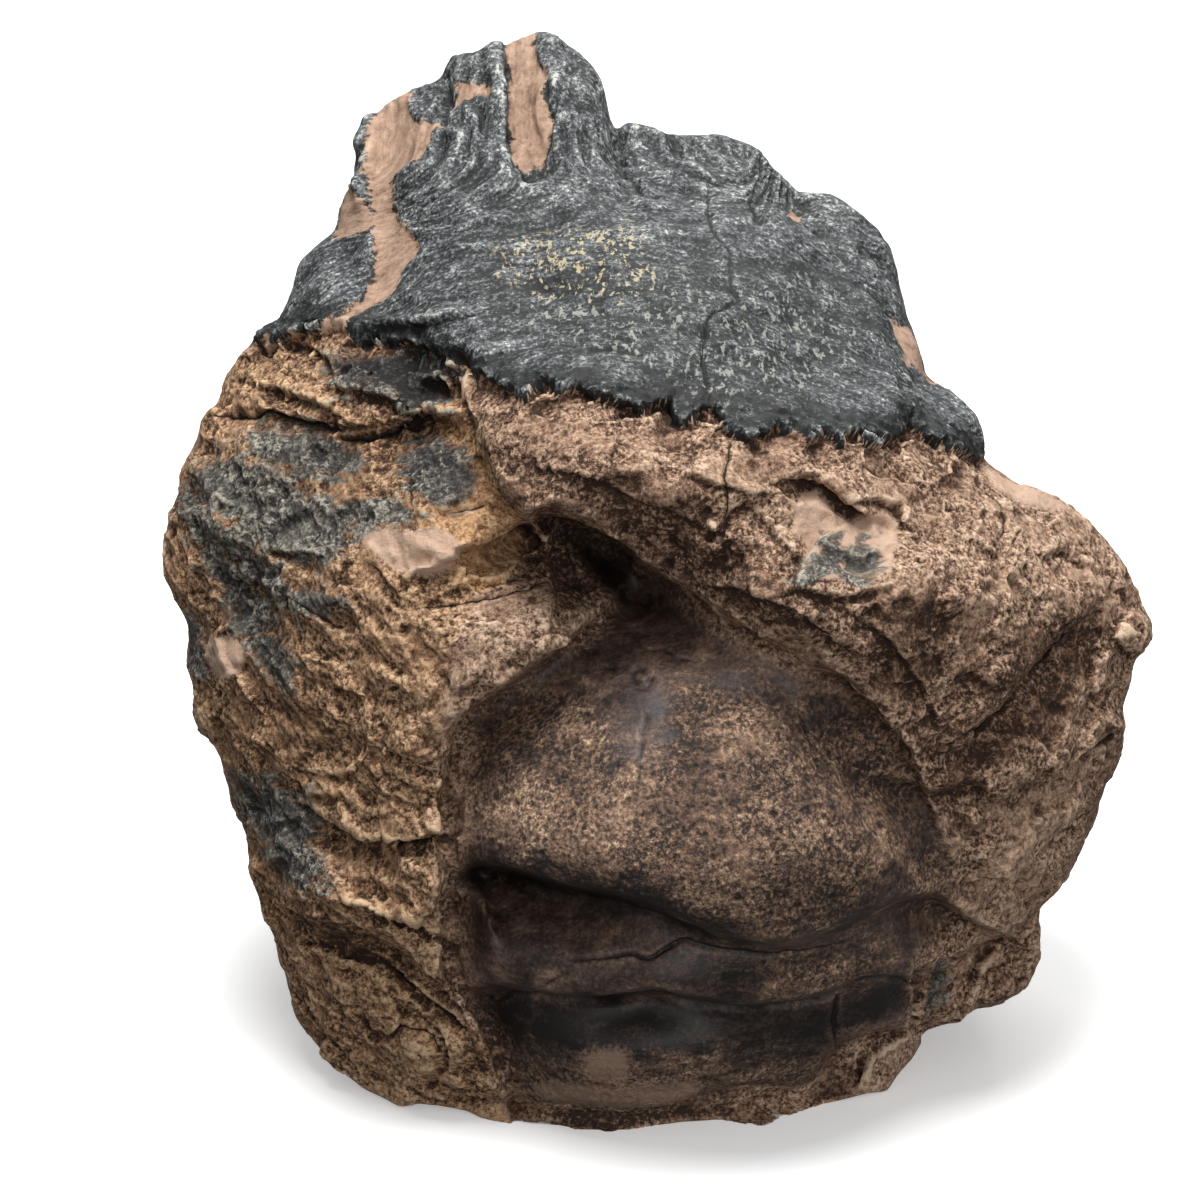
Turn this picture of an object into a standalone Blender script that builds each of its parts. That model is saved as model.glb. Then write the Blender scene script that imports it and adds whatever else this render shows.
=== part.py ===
"""A fossil mammoth tooth: one lump of brown cement and root with a black crown of fused plates.

The tooth is one solid. It is modelled the way a sculptor would: a ball is pressed into the tooth's
outline as seen from the front, its two faces are raised to a few depths that were chosen by eye,
and then the lips, folds, cracks and plates are cut along drawn lines. At the end the surface is
broken up like rock, and the underside is cut flat where the tooth stands.

Every line is drawn on a layout grid that lies across the front of the tooth, square to a viewer
who looks slightly down on it. Grid x runs to the right and grid y runs down. Depths are in
millimetres towards that viewer, from the plane of the grid.
"""

import math

import bmesh
import bpy
import numpy as np
from mathutils import Vector, noise

# Driving dimensions, in metres. The outline is this wide, and the rough surface adds a millimetre.
OVERALL_WIDTH = 0.124
GRID_STEPS_ACROSS = 987
GRID_STEP = OVERALL_WIDTH / GRID_STEPS_ACROSS
MILLIMETRE = 0.001

# The viewer that the layout grid is square to, and where the middle of the grid lies
EYE_DISTANCE = 0.600
EYE_ELEVATION = math.radians(18.0)
GRID_MIDDLE = (640.0, 620.0)
MIDDLE_PLACE = Vector((-0.0023, -0.0082, 0.0557))

# The outline, clockwise from the highest point: grid x, grid y, depth of the rim there
OUTLINE = [
    (537, 29, -6), (564, 43, -6), (598, 81, -4), (609, 126, -2), (618, 137, -1), (628, 123, -3),
    (677, 136, -3), (722, 133, -4), (760, 150, -3), (794, 191, -2), (834, 196, -2), (878, 231, -1),
    (893, 265, 0), (904, 316, 2), (923, 374, 6), (974, 413, 13), (981, 432, 14), (980, 457, 15),
    (1022, 486, 10), (1044, 492, 8), (1070, 507, 7), (1118, 559, 5), (1150, 626, 4), (1150, 638, 4),
    (1138, 650, 4), (1121, 706, 4), (1125, 724, 4), (1122, 754, 4), (1105, 783, 5), (1067, 875, 6),
    (1037, 914, 3), (1040, 950, 2), (1031, 981, 1), (1019, 993, 1), (961, 1019, 0), (923, 1029, 0),
    (910, 1060, -1), (886, 1091, 2), (856, 1095, 5), (784, 1119, 11), (770, 1130, 13),
    (758, 1132, 14), (722, 1120, 11), (614, 1131, 14), (533, 1129, 13), (485, 1119, 11), (469, 1111, 10),
    (424, 1103, 8), (402, 1108, 8), (364, 1089, 3), (300, 1025, -1), (252, 879, 0), (250, 847, 0),
    (233, 805, 0), (230, 783, 0), (209, 738, 0), (192, 711, 0), (192, 683, 0), (186, 660, 0),
    (189, 625, 0), (171, 593, 0), (163, 565, 0), (169, 517, 0), (181, 498, 0), (182, 472, 0),
    (206, 415, 0), (216, 408, 0), (225, 380, 0), (257, 341, 0), (281, 326, -1), (298, 265, -4),
    (335, 233, -6), (341, 204, -9), (357, 166, -9), (367, 118, -9), (424, 83, -8), (437, 80, -7),
    (459, 54, -7), (478, 53, -7), (491, 43, -7), (501, 48, -7),
]

# Heights of the front face, chosen by eye: grid x, grid y, depth towards the viewer
FRONT_HEIGHTS = [
    # the black crown, which slopes back from its ragged front edge to the crest
    (530, 60, 2), (460, 90, 1), (400, 130, 0), (590, 110, 4), (560, 160, 9), (440, 180, 9),
    (650, 160, 4), (740, 180, 5), (840, 230, 6), (640, 230, 18), (520, 240, 18), (740, 250, 18),
    (400, 250, 12), (320, 290, 9), (860, 300, 14), (600, 310, 31), (700, 330, 34), (480, 320, 29),
    (820, 370, 30), (900, 380, 25), (560, 375, 40), (700, 405, 42), (850, 425, 38), (950, 430, 26),
    # the brow under it, and its long slope down to the right
    (500, 430, 42), (580, 457, 47), (680, 480, 49), (780, 500, 47), (610, 515, 43), (700, 560, 43),
    (790, 580, 48), (880, 540, 43), (890, 590, 47), (870, 650, 43), (960, 500, 32), (965, 590, 41),
    (945, 690, 37),
    # the right lobe
    (1040, 550, 24), (1090, 580, 18), (1050, 640, 26), (1100, 680, 19), (1030, 730, 29),
    (1070, 780, 20), (1000, 860, 23), (1030, 900, 15), (940, 860, 27), (990, 960, 11),
    # the flaky rock at the left, under the crown
    (280, 370, 12), (370, 370, 22), (430, 400, 29), (240, 440, 14), (330, 460, 24), (420, 480, 34),
    (210, 560, 15), (300, 560, 26), (400, 560, 37), (490, 560, 42), (520, 640, 42), (420, 650, 38),
    # the long left flank
    (230, 680, 15), (300, 690, 25), (400, 740, 34), (270, 790, 15), (340, 800, 25), (420, 860, 31),
    (310, 900, 17), (380, 950, 22), (330, 990, 13), (400, 1030, 16), (450, 1080, 12), (470, 980, 25),
    # the smooth dome and the folds under it
    (640, 600, 36), (640, 660, 39), (560, 700, 38), (480, 780, 35), (690, 740, 43), (590, 840, 43),
    (740, 870, 45), (860, 770, 40), (890, 840, 38), (700, 925, 42), (560, 955, 32), (800, 975, 33),
    (900, 945, 26), (560, 1040, 25), (700, 1040, 26), (820, 1030, 20), (880, 1060, 9),
    (620, 1095, 20), (740, 1080, 17), (540, 1095, 17),
]

# Heights of the hidden face, towards the same viewer, so they are negative
BACK_HEIGHTS = [
    (540, 100, -20), (420, 150, -24), (680, 190, -30), (800, 240, -28), (330, 300, -30),
    (600, 230, -42), (740, 300, -46), (460, 270, -42), (880, 380, -38), (600, 420, -60),
    (760, 450, -60), (420, 420, -54), (260, 440, -36), (980, 500, -40), (900, 560, -54),
    (600, 620, -66), (740, 640, -64), (400, 620, -58), (240, 620, -34), (1060, 640, -34),
    (600, 780, -66), (780, 780, -62), (420, 780, -56), (290, 800, -34), (980, 780, -42),
    (600, 880, -62), (760, 900, -56), (450, 890, -50), (330, 920, -29), (900, 880, -44),
    (600, 980, -48), (760, 990, -38), (470, 990, -32), (600, 1070, -27), (740, 1070, -20),
]

# The spline through those heights: the grid steps that it counts as one, and how much it may smooth
SPLINE_STEPS = 100.0
SPLINE_SMOOTHING = 0.01

# Ledges: one side of the line stands proud of the other by the drop, and both fade into the face.
# The proud side is at the left hand of someone who walks along the line.
# Each is its points (grid x, grid y, drop in millimetres), the fade in grid steps, and the share
# of the drop by which the proud side is raised.
LEDGES = {
    "brow_side": ([(448, 372, 3), (468, 412, 5), (487, 458, 7), (500, 494, 9), (526, 521, 12)], 60, 0.2),
    "brow_lip": (
        [(526, 521, 12), (545, 513, 23), (580, 520, 26), (620, 543, 24), (642, 562, 19),
         (690, 592, 11), (740, 625, 7), (800, 655, 5), (845, 678, 5), (880, 708, 6),
         (905, 745, 6), (918, 775, 4)], 76, 0.12,
    ),
    "shoulder": (
        [(506, 1100, 5), (494, 1056, 6), (480, 1020, 6), (452, 988, 7), (443, 950, 7),
         (441, 880, 6), (441, 830, 5), (440, 790, 5), (447, 750, 7), (455, 724, 9),
         (472, 706, 10), (505, 688, 10), (548, 655, 9), (578, 632, 7), (600, 612, 3)], 56, 0.12,
    ),
    "dome_lip": (
        [(455, 884, 7), (470, 868, 14), (490, 866, 18), (530, 875, 18), (570, 887, 17),
         (610, 893, 14), (650, 904, 10), (690, 922, 8), (740, 940, 7), (785, 944, 7),
         (830, 931, 7), (870, 914, 8), (905, 899, 10), (932, 897, 11), (955, 908, 9)], 56, 0.15,
    ),
    "second_lip": (
        [(470, 990, 3), (500, 986, 4), (560, 995, 6), (610, 997, 9), (650, 992, 11),
         (700, 999, 9), (745, 1005, 6), (795, 1001, 5), (835, 989, 5), (905, 974, 5)], 44, 0.15,
    ),
    "third_lip": (
        [(490, 1098, 3), (540, 1103, 5), (600, 1104, 7), (650, 1107, 7), (685, 1097, 7),
         (715, 1088, 7), (760, 1084, 7), (800, 1086, 8), (818, 1073, 9), (830, 1050, 10),
         (850, 1036, 9), (905, 1026, 6)], 46, 0.1,
    ),
    "crown_edge": (
        [(345, 337, 2), (400, 344, 2), (436, 350, 4), (455, 363, 3), (480, 373, 2), (500, 378, 2),
         (522, 393, 2), (548, 385, 2), (580, 387, 2), (620, 397, 2), (660, 410, 2), (690, 414, 2),
         (712, 419, 2), (740, 432, 2), (762, 440, 2), (800, 433, 2), (850, 440, 2), (885, 440, 2),
         (899, 410, 2), (920, 427, 2), (950, 442, 2), (984, 460, 2)], 30, 0.5,
    ),
    "left_gap": (
        [(222, 412, 2), (262, 412, 3), (300, 417, 4), (340, 426, 4), (400, 424, 4),
         (448, 420, 4)], 24, 0.3,
    ),
    "right_gap": (
        [(905, 782, 3), (940, 792, 5), (975, 782, 5), (1000, 795, 5), (1020, 783, 5),
         (1048, 779, 4), (1085, 748, 2), (1128, 722, 1)], 30, 0.2,
    ),
    "right_valley": (
        [(925, 757, 2), (965, 738, 4), (1000, 703, 6), (1035, 662, 7), (1060, 635, 6),
         (1090, 606, 3)], 60, 0.2,
    ),
    "lower_right_lip": (
        [(912, 976, 5), (935, 966, 6), (968, 948, 6), (1000, 938, 6), (1022, 925, 5),
         (1040, 905, 4)], 34, 0.2,
    ),
    "brow_scoop": (
        [(785, 484, 1), (812, 476, 3), (838, 490, 4), (862, 512, 3), (890, 521, 1)], 40, 0.2,
    ),
    "left_slot": (
        [(300, 917, 4), (340, 928, 6), (380, 940, 6), (412, 964, 5), (446, 992, 4)], 26, 0.2,
    ),
}

# The same for the hidden face, drawn on the same grid
BACK_LEDGES = {
    "plate_foot": (
        [(215, 590, 2), (330, 640, 3), (450, 690, 3), (560, 665, 2), (660, 700, 3), (780, 720, 3),
         (880, 665, 3), (1000, 650, 2), (1100, 610, 2)], 60, 0.4,
    ),
    "root_fold": (
        [(250, 800, 4), (380, 850, 6), (500, 880, 7), (600, 850, 6), (700, 870, 7), (800, 840, 7),
         (930, 800, 6), (1080, 740, 4)], 70, 0.3,
    ),
    "foot_fold": (
        [(300, 930, 3), (420, 925, 3), (540, 950, 3), (680, 930, 3), (800, 935, 3), (980, 900, 3)],
        40, 0.5,
    ),
}

# How far the edge of a ledge is rounded, in grid steps each way
LEDGE_SOFTNESS = 5

# Grooves and ridges, the same on both sides of the line: points with a height, half width in steps
GROOVES = {
    "crown_notch": ([(617, 138, -7), (622, 175, -4), (632, 215, -1)], 14),
    "cement_strip": ([(517, 45, -3), (522, 90, -3), (530, 155, -3)], 17),
    "left_strip": ([(392, 104, -3), (394, 150, -4), (386, 210, -4), (384, 260, -3), (362, 310, -2)], 22),
    "left_plate": ([(362, 124, 2), (360, 170, 2), (356, 205, 2)], 12),
    "far_notch": ([(790, 190, -5), (812, 215, -3), (850, 260, -1)], 16),
    "left_rim": ([(186, 500, 1), (215, 522, 2), (248, 556, 2), (290, 592, 1), (320, 620, 0)], 20),
    "left_hollow": ([(196, 520, -1), (222, 565, -3), (250, 610, -3), (268, 660, -1)], 22),
    "left_fold": ([(245, 760, 1), (275, 830, 2), (300, 880, 3), (350, 905, 3), (400, 900, 1)], 26),
    "dome_right": ([(790, 690, -1), (830, 740, -2), (880, 800, -2), (925, 850, -1)], 30),
    "brow_step": ([(700, 575, 0), (760, 590, 2), (830, 625, 2), (890, 665, 1)], 22),
    "lobe_step": ([(980, 505, 1), (1030, 540, 2), (1080, 600, 2), (1120, 640, 1)], 24),
}
BACK_GROOVES = {
    "root_valley": ([(640, 700, -2), (655, 800, -7), (650, 900, -9), (640, 1010, -6)], 60),
    "side_scoop": ([(880, 420, -2), (930, 560, -5), (950, 700, -4), (960, 800, -1)], 44),
    "far_scoop": ([(330, 420, -2), (310, 560, -4), (330, 700, -3)], 40),
}

# The plates of the hidden face stand upright and side by side, with brown cement between them.
# Their pitch, top, foot, fade and bow are in grid steps, and their height is in millimetres.
PLATE_PITCH = 74.0
PLATE_HEIGHT = 2.6
PLATE_BLUNTNESS = 0.7
PLATE_TOP = 120.0
PLATE_FOOT = 720.0
PLATE_FADE = 180.0
PLATE_BOW = 46.0
PLATE_BOW_LENGTH = 420.0

# How the ball turns from its rim to each face: the share of its radius that the turn takes
BALL_SUBDIVISIONS = 7
FRONT_TURN = 0.42
FRONT_TURN_POWER = 0.8
BACK_TURN = 0.75

# The broken rock: how far it stands in and out, and how long its lumps are, in metres
REMESH_SIZE = 0.0010
LUMP_HEIGHT = 0.0013
LUMP_LENGTH = 0.013
CHIP_HEIGHT = 0.0005
CHIP_LENGTH = 0.006
CHIP_MIDDLE = 1.2

# The polished folds in the middle of the front, which are smoother than the rest: their sides fade
# between these grid steps, and they end between these depths
FOLDS_LEFT = (430, 490)
FOLDS_RIGHT = (860, 940)
FOLDS_TOP = (590, 660)
FOLDS_DEPTH = (8, 14)
FOLDS_ROUGHNESS_SHARE = 0.25

SOLID_TRIANGLES = 9800
MERGE_DISTANCE = 1e-6

STAIN = (0.16, 0.105, 0.072, 1.0)
STONE_ROUGHNESS = 0.78


def clear_scene():
    for obj in list(bpy.data.objects):
        bpy.data.objects.remove(obj)


def soft_step(x, low, high):
    t = np.clip((x - low) / (high - low), 0, 1)
    return t * t * (3 - 2 * t)


def view_frame():
    """The viewer's right, up and forward directions, and the place of the eye."""
    right = np.array((1, 0, 0))
    up = np.array((0, math.sin(EYE_ELEVATION), math.cos(EYE_ELEVATION)))
    forward = np.array((0, math.cos(EYE_ELEVATION), -math.sin(EYE_ELEVATION)))
    return right, up, forward, np.array(MIDDLE_PLACE) - EYE_DISTANCE * forward


def place(grid_x, grid_y, depth_mm):
    """Points on the layout grid, raised towards the viewer, as places in the tooth's own frame."""
    right, up, forward, eye = view_frame()
    away = EYE_DISTANCE - depth_mm * MILLIMETRE
    across = (grid_x - GRID_MIDDLE[0]) * GRID_STEP / EYE_DISTANCE * away
    upward = (GRID_MIDDLE[1] - grid_y) * GRID_STEP / EYE_DISTANCE * away
    return eye + away[:, None] * forward + across[:, None] * right + upward[:, None] * up


def grid_of(places):
    """Where the viewer sees each place on the layout grid, and its depth in millimetres."""
    right, up, forward, eye = view_frame()
    away = (places - eye) @ forward
    grid_x = GRID_MIDDLE[0] + (places - eye) @ right * EYE_DISTANCE / away / GRID_STEP
    grid_y = GRID_MIDDLE[1] - (places - eye) @ up * EYE_DISTANCE / away / GRID_STEP
    return grid_x, grid_y, (EYE_DISTANCE - away) / MILLIMETRE


def smooth_path(points, pieces=5):
    """The same line with a smooth curve through its points (Catmull-Rom)."""
    p = np.array(points, float)
    ends = np.vstack([2 * p[0] - p[1], p, 2 * p[-1] - p[-2]])
    found = [p[0]]
    for a, b, c, d in zip(ends[:-3], ends[1:-2], ends[2:-1], ends[3:]):
        for t in np.linspace(0, 1, pieces + 1)[1:]:
            found.append(0.5 * (2 * b + (c - a) * t + (2 * a - 5 * b + 4 * c - d) * t**2
                                + (3 * b - a - 3 * c + d) * t**3))
    return np.array(found)


def nearest_on_path(points, grid_x, grid_y):
    """For each place: its distance from the line, its side of it, and the line's third value there."""
    path = smooth_path(points)
    best = np.full(len(grid_x), np.inf)
    side = np.zeros(len(grid_x))
    value = np.zeros(len(grid_x))
    for (ax, ay, av), (bx, by, bv) in zip(path[:-1], path[1:]):
        dx, dy = bx - ax, by - ay
        length_squared = dx * dx + dy * dy
        t = np.clip(((grid_x - ax) * dx + (grid_y - ay) * dy) / length_squared, 0, 1)
        gap = np.hypot(grid_x - ax - t * dx, grid_y - ay - t * dy)
        nearer = gap < best
        best = np.where(nearer, gap, best)
        side = np.where(nearer, np.sign(dx * (grid_y - ay) - dy * (grid_x - ax)), side)
        value = np.where(nearer, av + t * (bv - av), value)
    return best, side, value


def smooth_surface(heights, grid_x, grid_y):
    """A smooth surface through a few chosen heights (a thin plate spline)."""
    known = np.array(heights, float)
    xy = known[:, :2] / SPLINE_STEPS

    def pull(distance):
        return distance**2 * np.log(np.maximum(distance, 1e-9))

    count = len(known)
    system = np.zeros((count + 3, count + 3))
    system[:count, :count] = pull(np.hypot(*(xy[:, None] - xy[None]).transpose(2, 0, 1)))
    system[:count, :count] += SPLINE_SMOOTHING * np.eye(count)
    system[:count, count:] = np.column_stack([np.ones(count), xy])
    system[count:, :count] = system[:count, count:].T
    weights = np.linalg.solve(system, np.append(known[:, 2], np.zeros(3)))
    at = np.column_stack([grid_x, grid_y]) / SPLINE_STEPS
    surface = weights[count] + at @ weights[count + 1:]
    for (near_x, near_y), weight in zip(xy, weights[:count]):
        surface += weight * pull(np.hypot(at[:, 0] - near_x, at[:, 1] - near_y))
    return surface


def carve(depth, ledges, grooves, grid_x, grid_y, outward):
    """Cuts the grooves and ledges into a face, whose outside lies in the outward direction."""
    for points, half_width in grooves.values():
        gap, _, height = nearest_on_path(points, grid_x, grid_y)
        depth = depth + outward * height * np.exp(-((gap / half_width) ** 2))
    for points, fade, rise in ledges.values():
        gap, side, drop = nearest_on_path(points, grid_x, grid_y)
        low_side = soft_step(side * gap, -LEDGE_SOFTNESS, LEDGE_SOFTNESS)
        step = rise * (1 - low_side) - (1 - rise) * low_side
        depth = depth + outward * drop * step * np.exp(-((gap / fade) ** 2))
    return depth


def front_depth(grid_x, grid_y):
    depth = smooth_surface(FRONT_HEIGHTS, grid_x, grid_y)
    return carve(depth, LEDGES, GROOVES, grid_x, grid_y, 1)


def back_depth(grid_x, grid_y):
    """The hidden face, with its upright plates."""
    depth = smooth_surface(BACK_HEIGHTS, grid_x, grid_y)
    bowed = grid_x + PLATE_BOW * np.sin((grid_y - PLATE_TOP) / PLATE_BOW_LENGTH)
    plates = np.abs(np.sin(np.pi * bowed / PLATE_PITCH)) ** PLATE_BLUNTNESS
    share = 1 - soft_step(grid_y, PLATE_FOOT - PLATE_FADE, PLATE_FOOT)
    depth = depth - PLATE_HEIGHT * (plates - 0.5) * share
    return carve(depth, BACK_LEDGES, BACK_GROOVES, grid_x, grid_y, -1)


def rim_at(angles):
    """The outline as a radius and a depth for each direction from the middle of the grid."""
    rim = np.array(OUTLINE, float)
    x, y = rim[:, 0] - GRID_MIDDLE[0], GRID_MIDDLE[1] - rim[:, 1]
    order = np.argsort(np.arctan2(y, x))
    rim_angles = np.arctan2(y, x)[order]
    radius, depth = np.hypot(x, y)[order], rim[order, 2]
    return (np.interp(angles, rim_angles, radius, period=2 * math.pi),
            np.interp(angles, rim_angles, depth, period=2 * math.pi))


def press_ball():
    """A ball whose rim is pressed into the outline, and whose halves are raised to the two faces."""
    ball = bmesh.new()
    bmesh.ops.create_icosphere(ball, subdivisions=BALL_SUBDIVISIONS, radius=1.0)
    unit = np.array([v.co for v in ball.verts])
    angles = np.arctan2(unit[:, 2], unit[:, 0])
    reach = np.hypot(unit[:, 0], unit[:, 2])
    radius, rim_depth = rim_at(angles)
    grid_x = GRID_MIDDLE[0] + radius * reach * np.cos(angles)
    grid_y = GRID_MIDDLE[1] - radius * reach * np.sin(angles)

    from_rim = np.abs(unit[:, 1])
    front_share = np.minimum(1, from_rim / FRONT_TURN) ** FRONT_TURN_POWER
    back_share = np.sqrt(1 - (1 - np.minimum(1, from_rim / BACK_TURN)) ** 2)
    front = rim_depth + (front_depth(grid_x, grid_y) - rim_depth) * front_share
    back = rim_depth + (back_depth(grid_x, grid_y) - rim_depth) * back_share
    places = place(grid_x, grid_y, np.where(unit[:, 1] < 0, front, back))
    for vert, at in zip(ball.verts, places):
        vert.co = at
    mesh = bpy.data.meshes.new("mammoth_tooth")
    ball.to_mesh(mesh)
    ball.free()
    return mesh


def apply_modifiers(obj):
    graph = bpy.context.evaluated_depsgraph_get()
    mesh = bpy.data.meshes.new_from_object(obj.evaluated_get(graph))
    obj.modifiers.clear()
    obj.data = mesh


def even_out(obj):
    """Gives the pressed ball even faces, because its steep places are stretched."""
    remesh = obj.modifiers.new("Remesh", "REMESH")
    remesh.mode = "VOXEL"
    remesh.voxel_size = REMESH_SIZE
    apply_modifiers(obj)


def roughen(obj):
    """Breaks the surface up like rock, less so on the polished folds of the front."""
    mesh = obj.data
    places = np.array([v.co for v in mesh.vertices])
    normals = np.array([v.normal for v in mesh.vertices])
    grid_x, grid_y, depth = grid_of(places)
    folds = (soft_step(grid_x, *FOLDS_LEFT) * (1 - soft_step(grid_x, *FOLDS_RIGHT))
             * soft_step(grid_y, *FOLDS_TOP) * soft_step(depth, *FOLDS_DEPTH))
    share = 1 - (1 - FOLDS_ROUGHNESS_SHARE) * folds
    rough = np.empty(len(places))
    for index, at in enumerate(places):
        lump = noise.fractal(Vector(at / LUMP_LENGTH), 1.0, 2.0, 3)
        chip = noise.ridged_multi_fractal(Vector(at / CHIP_LENGTH), 1.0, 2.0, 2, 1.0, 2.0)
        rough[index] = LUMP_HEIGHT * lump + CHIP_HEIGHT * (chip - CHIP_MIDDLE)
    moved = places + normals * (rough * share)[:, None]
    for vert, at in zip(mesh.vertices, moved):
        vert.co = at


def thin_out(obj):
    """Fewer faces where the surface is even, so that they stay where it is broken."""
    triangles = sum(len(face.vertices) - 2 for face in obj.data.polygons)
    thin = obj.modifiers.new("Decimate", "DECIMATE")
    thin.decimate_type = "COLLAPSE"
    thin.ratio = SOLID_TRIANGLES / triangles
    thin.use_collapse_triangulate = True
    apply_modifiers(obj)


def cut_resting_spot(obj):
    """Cuts the underside flat at the height where the tooth stands."""
    tooth = bmesh.new()
    tooth.from_mesh(obj.data)
    bmesh.ops.bisect_plane(
        tooth, geom=tooth.verts[:] + tooth.edges[:] + tooth.faces[:], dist=MERGE_DISTANCE,
        plane_co=(0, 0, 0), plane_no=(0, 0, -1), clear_outer=True)
    rim = [edge for edge in tooth.edges if edge.is_boundary]
    bmesh.ops.contextual_create(tooth, geom=rim)
    bmesh.ops.triangulate(tooth, faces=tooth.faces[:])
    tooth.to_mesh(obj.data)
    tooth.free()


def stone_material():
    material = bpy.data.materials.new("fossil stone")
    material.use_nodes = True
    shader = material.node_tree.nodes["Principled BSDF"]
    shader.inputs["Base Color"].default_value = STAIN
    shader.inputs["Roughness"].default_value = STONE_ROUGHNESS
    shader.inputs["Metallic"].default_value = 0.0
    return material


def make_tooth():
    tooth = bpy.data.objects.new("mammoth_tooth", press_ball())
    parts = bpy.data.collections.new("fossil mammoth tooth")
    bpy.context.scene.collection.children.link(parts)
    parts.objects.link(tooth)
    even_out(tooth)
    roughen(tooth)
    thin_out(tooth)
    cut_resting_spot(tooth)
    tooth.data.materials.append(stone_material())


def main():
    clear_scene()
    make_tooth()


main()
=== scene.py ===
# %% [markdown]
# # A fossil mammoth tooth
# The tooth is one natural lump. Brown root and cement make up its body, a smooth dome and lip-like
# folds show in a hollow of its front, and a black crown of fused plates slopes back to a jagged crest.
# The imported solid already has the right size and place. This lesson builds the fine surface that
# stands in for it: the same sculpted form, broken up like rock, and finished with painted masks.

import math

import bmesh
import bpy
import numpy as np
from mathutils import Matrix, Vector, noise
from mathutils.kdtree import KDTree


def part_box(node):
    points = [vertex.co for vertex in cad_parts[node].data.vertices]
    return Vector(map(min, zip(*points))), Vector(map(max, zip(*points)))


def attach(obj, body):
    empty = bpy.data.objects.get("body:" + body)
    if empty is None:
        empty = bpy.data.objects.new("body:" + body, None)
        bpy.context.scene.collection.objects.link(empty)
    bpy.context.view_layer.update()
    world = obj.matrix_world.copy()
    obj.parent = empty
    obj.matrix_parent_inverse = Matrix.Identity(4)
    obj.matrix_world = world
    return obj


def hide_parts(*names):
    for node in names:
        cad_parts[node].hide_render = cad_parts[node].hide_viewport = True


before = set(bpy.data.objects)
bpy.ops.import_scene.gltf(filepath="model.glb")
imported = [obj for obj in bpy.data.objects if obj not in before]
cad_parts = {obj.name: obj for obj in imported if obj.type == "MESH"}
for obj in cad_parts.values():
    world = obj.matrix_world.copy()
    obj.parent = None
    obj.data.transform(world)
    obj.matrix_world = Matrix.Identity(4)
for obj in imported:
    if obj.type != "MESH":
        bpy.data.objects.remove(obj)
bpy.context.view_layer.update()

# %% [markdown]
# ## The layout grid
# A sculptor works from a view. Here every line of the tooth is drawn on a grid that lies across its
# front, square to a viewer who looks 18 degrees down on it. Grid x runs to the right, grid y runs
# down, and depths are in millimetres towards the viewer. Two functions carry places between the grid
# and the tooth's own frame. They could be a projection matrix, but written out they are easier to read.

# %% The viewer and the grid
MILLIMETRE = 0.001
OVERALL_WIDTH = 0.124
GRID_STEPS_ACROSS = 987
GRID_STEP = OVERALL_WIDTH / GRID_STEPS_ACROSS
STEP_MM = GRID_STEP / MILLIMETRE
EYE_DISTANCE = 0.600
EYE_ELEVATION = math.radians(18.0)
GRID_MIDDLE = (640.0, 620.0)
MIDDLE_PLACE = Vector((-0.0023, -0.0082, 0.0557))

VIEW_RIGHT = np.array((1.0, 0.0, 0.0))
VIEW_UP = np.array((0.0, math.sin(EYE_ELEVATION), math.cos(EYE_ELEVATION)))
VIEW_FORWARD = np.array((0.0, math.cos(EYE_ELEVATION), -math.sin(EYE_ELEVATION)))
EYE = np.array(MIDDLE_PLACE) - EYE_DISTANCE * VIEW_FORWARD


def place(grid_x, grid_y, depth_mm):
    """Points on the layout grid, raised towards the viewer, as places in the tooth's own frame."""
    away = EYE_DISTANCE - depth_mm * MILLIMETRE
    across = (grid_x - GRID_MIDDLE[0]) * GRID_STEP / EYE_DISTANCE * away
    upward = (GRID_MIDDLE[1] - grid_y) * GRID_STEP / EYE_DISTANCE * away
    return EYE + away[:, None] * VIEW_FORWARD + across[:, None] * VIEW_RIGHT + upward[:, None] * VIEW_UP


def grid_of(places):
    """Where the viewer sees each place on the layout grid, and its depth in millimetres."""
    away = (places - EYE) @ VIEW_FORWARD
    grid_x = GRID_MIDDLE[0] + (places - EYE) @ VIEW_RIGHT * EYE_DISTANCE / away / GRID_STEP
    grid_y = GRID_MIDDLE[1] - (places - EYE) @ VIEW_UP * EYE_DISTANCE / away / GRID_STEP
    return grid_x, grid_y, (EYE_DISTANCE - away) / MILLIMETRE


print("one grid step is", round(STEP_MM, 4), "mm")

# %% [markdown]
# ## Lines and smooth steps
# Ledges, cracks and the borders of stains are all drawn the same way: a few listed points, and
# a smooth curve through them. What the later steps need to know about a curve is how far each point
# of the surface lies from it, and on which side. A distance like that can raise a ledge, cut a crack
# or become a mask for a colour, so one function serves them all.

# %% Smooth steps and curves
def soft_step(x, low, high):
    """Rises from 0 at low to 1 at high, with a soft start and a soft end."""
    t = np.clip((x - low) / (high - low), 0, 1)
    return t * t * (3 - 2 * t)


def smooth_path(points, pieces=5, closed=False):
    """The same line with a smooth curve through its points (Catmull-Rom)."""
    p = np.array(points, float)
    if closed:
        p = np.vstack([p, p[:1]])
        ends = np.vstack([p[-2], p, p[1]])
    else:
        ends = np.vstack([2 * p[0] - p[1], p, 2 * p[-1] - p[-2]])
    found = [p[0]]
    for a, b, c, d in zip(ends[:-3], ends[1:-2], ends[2:-1], ends[3:]):
        for t in np.linspace(0, 1, pieces + 1)[1:]:
            found.append(0.5 * (2 * b + (c - a) * t + (2 * a - 5 * b + 4 * c - d) * t**2
                                + (3 * b - a - 3 * c + d) * t**3))
    return np.array(found)


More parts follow.
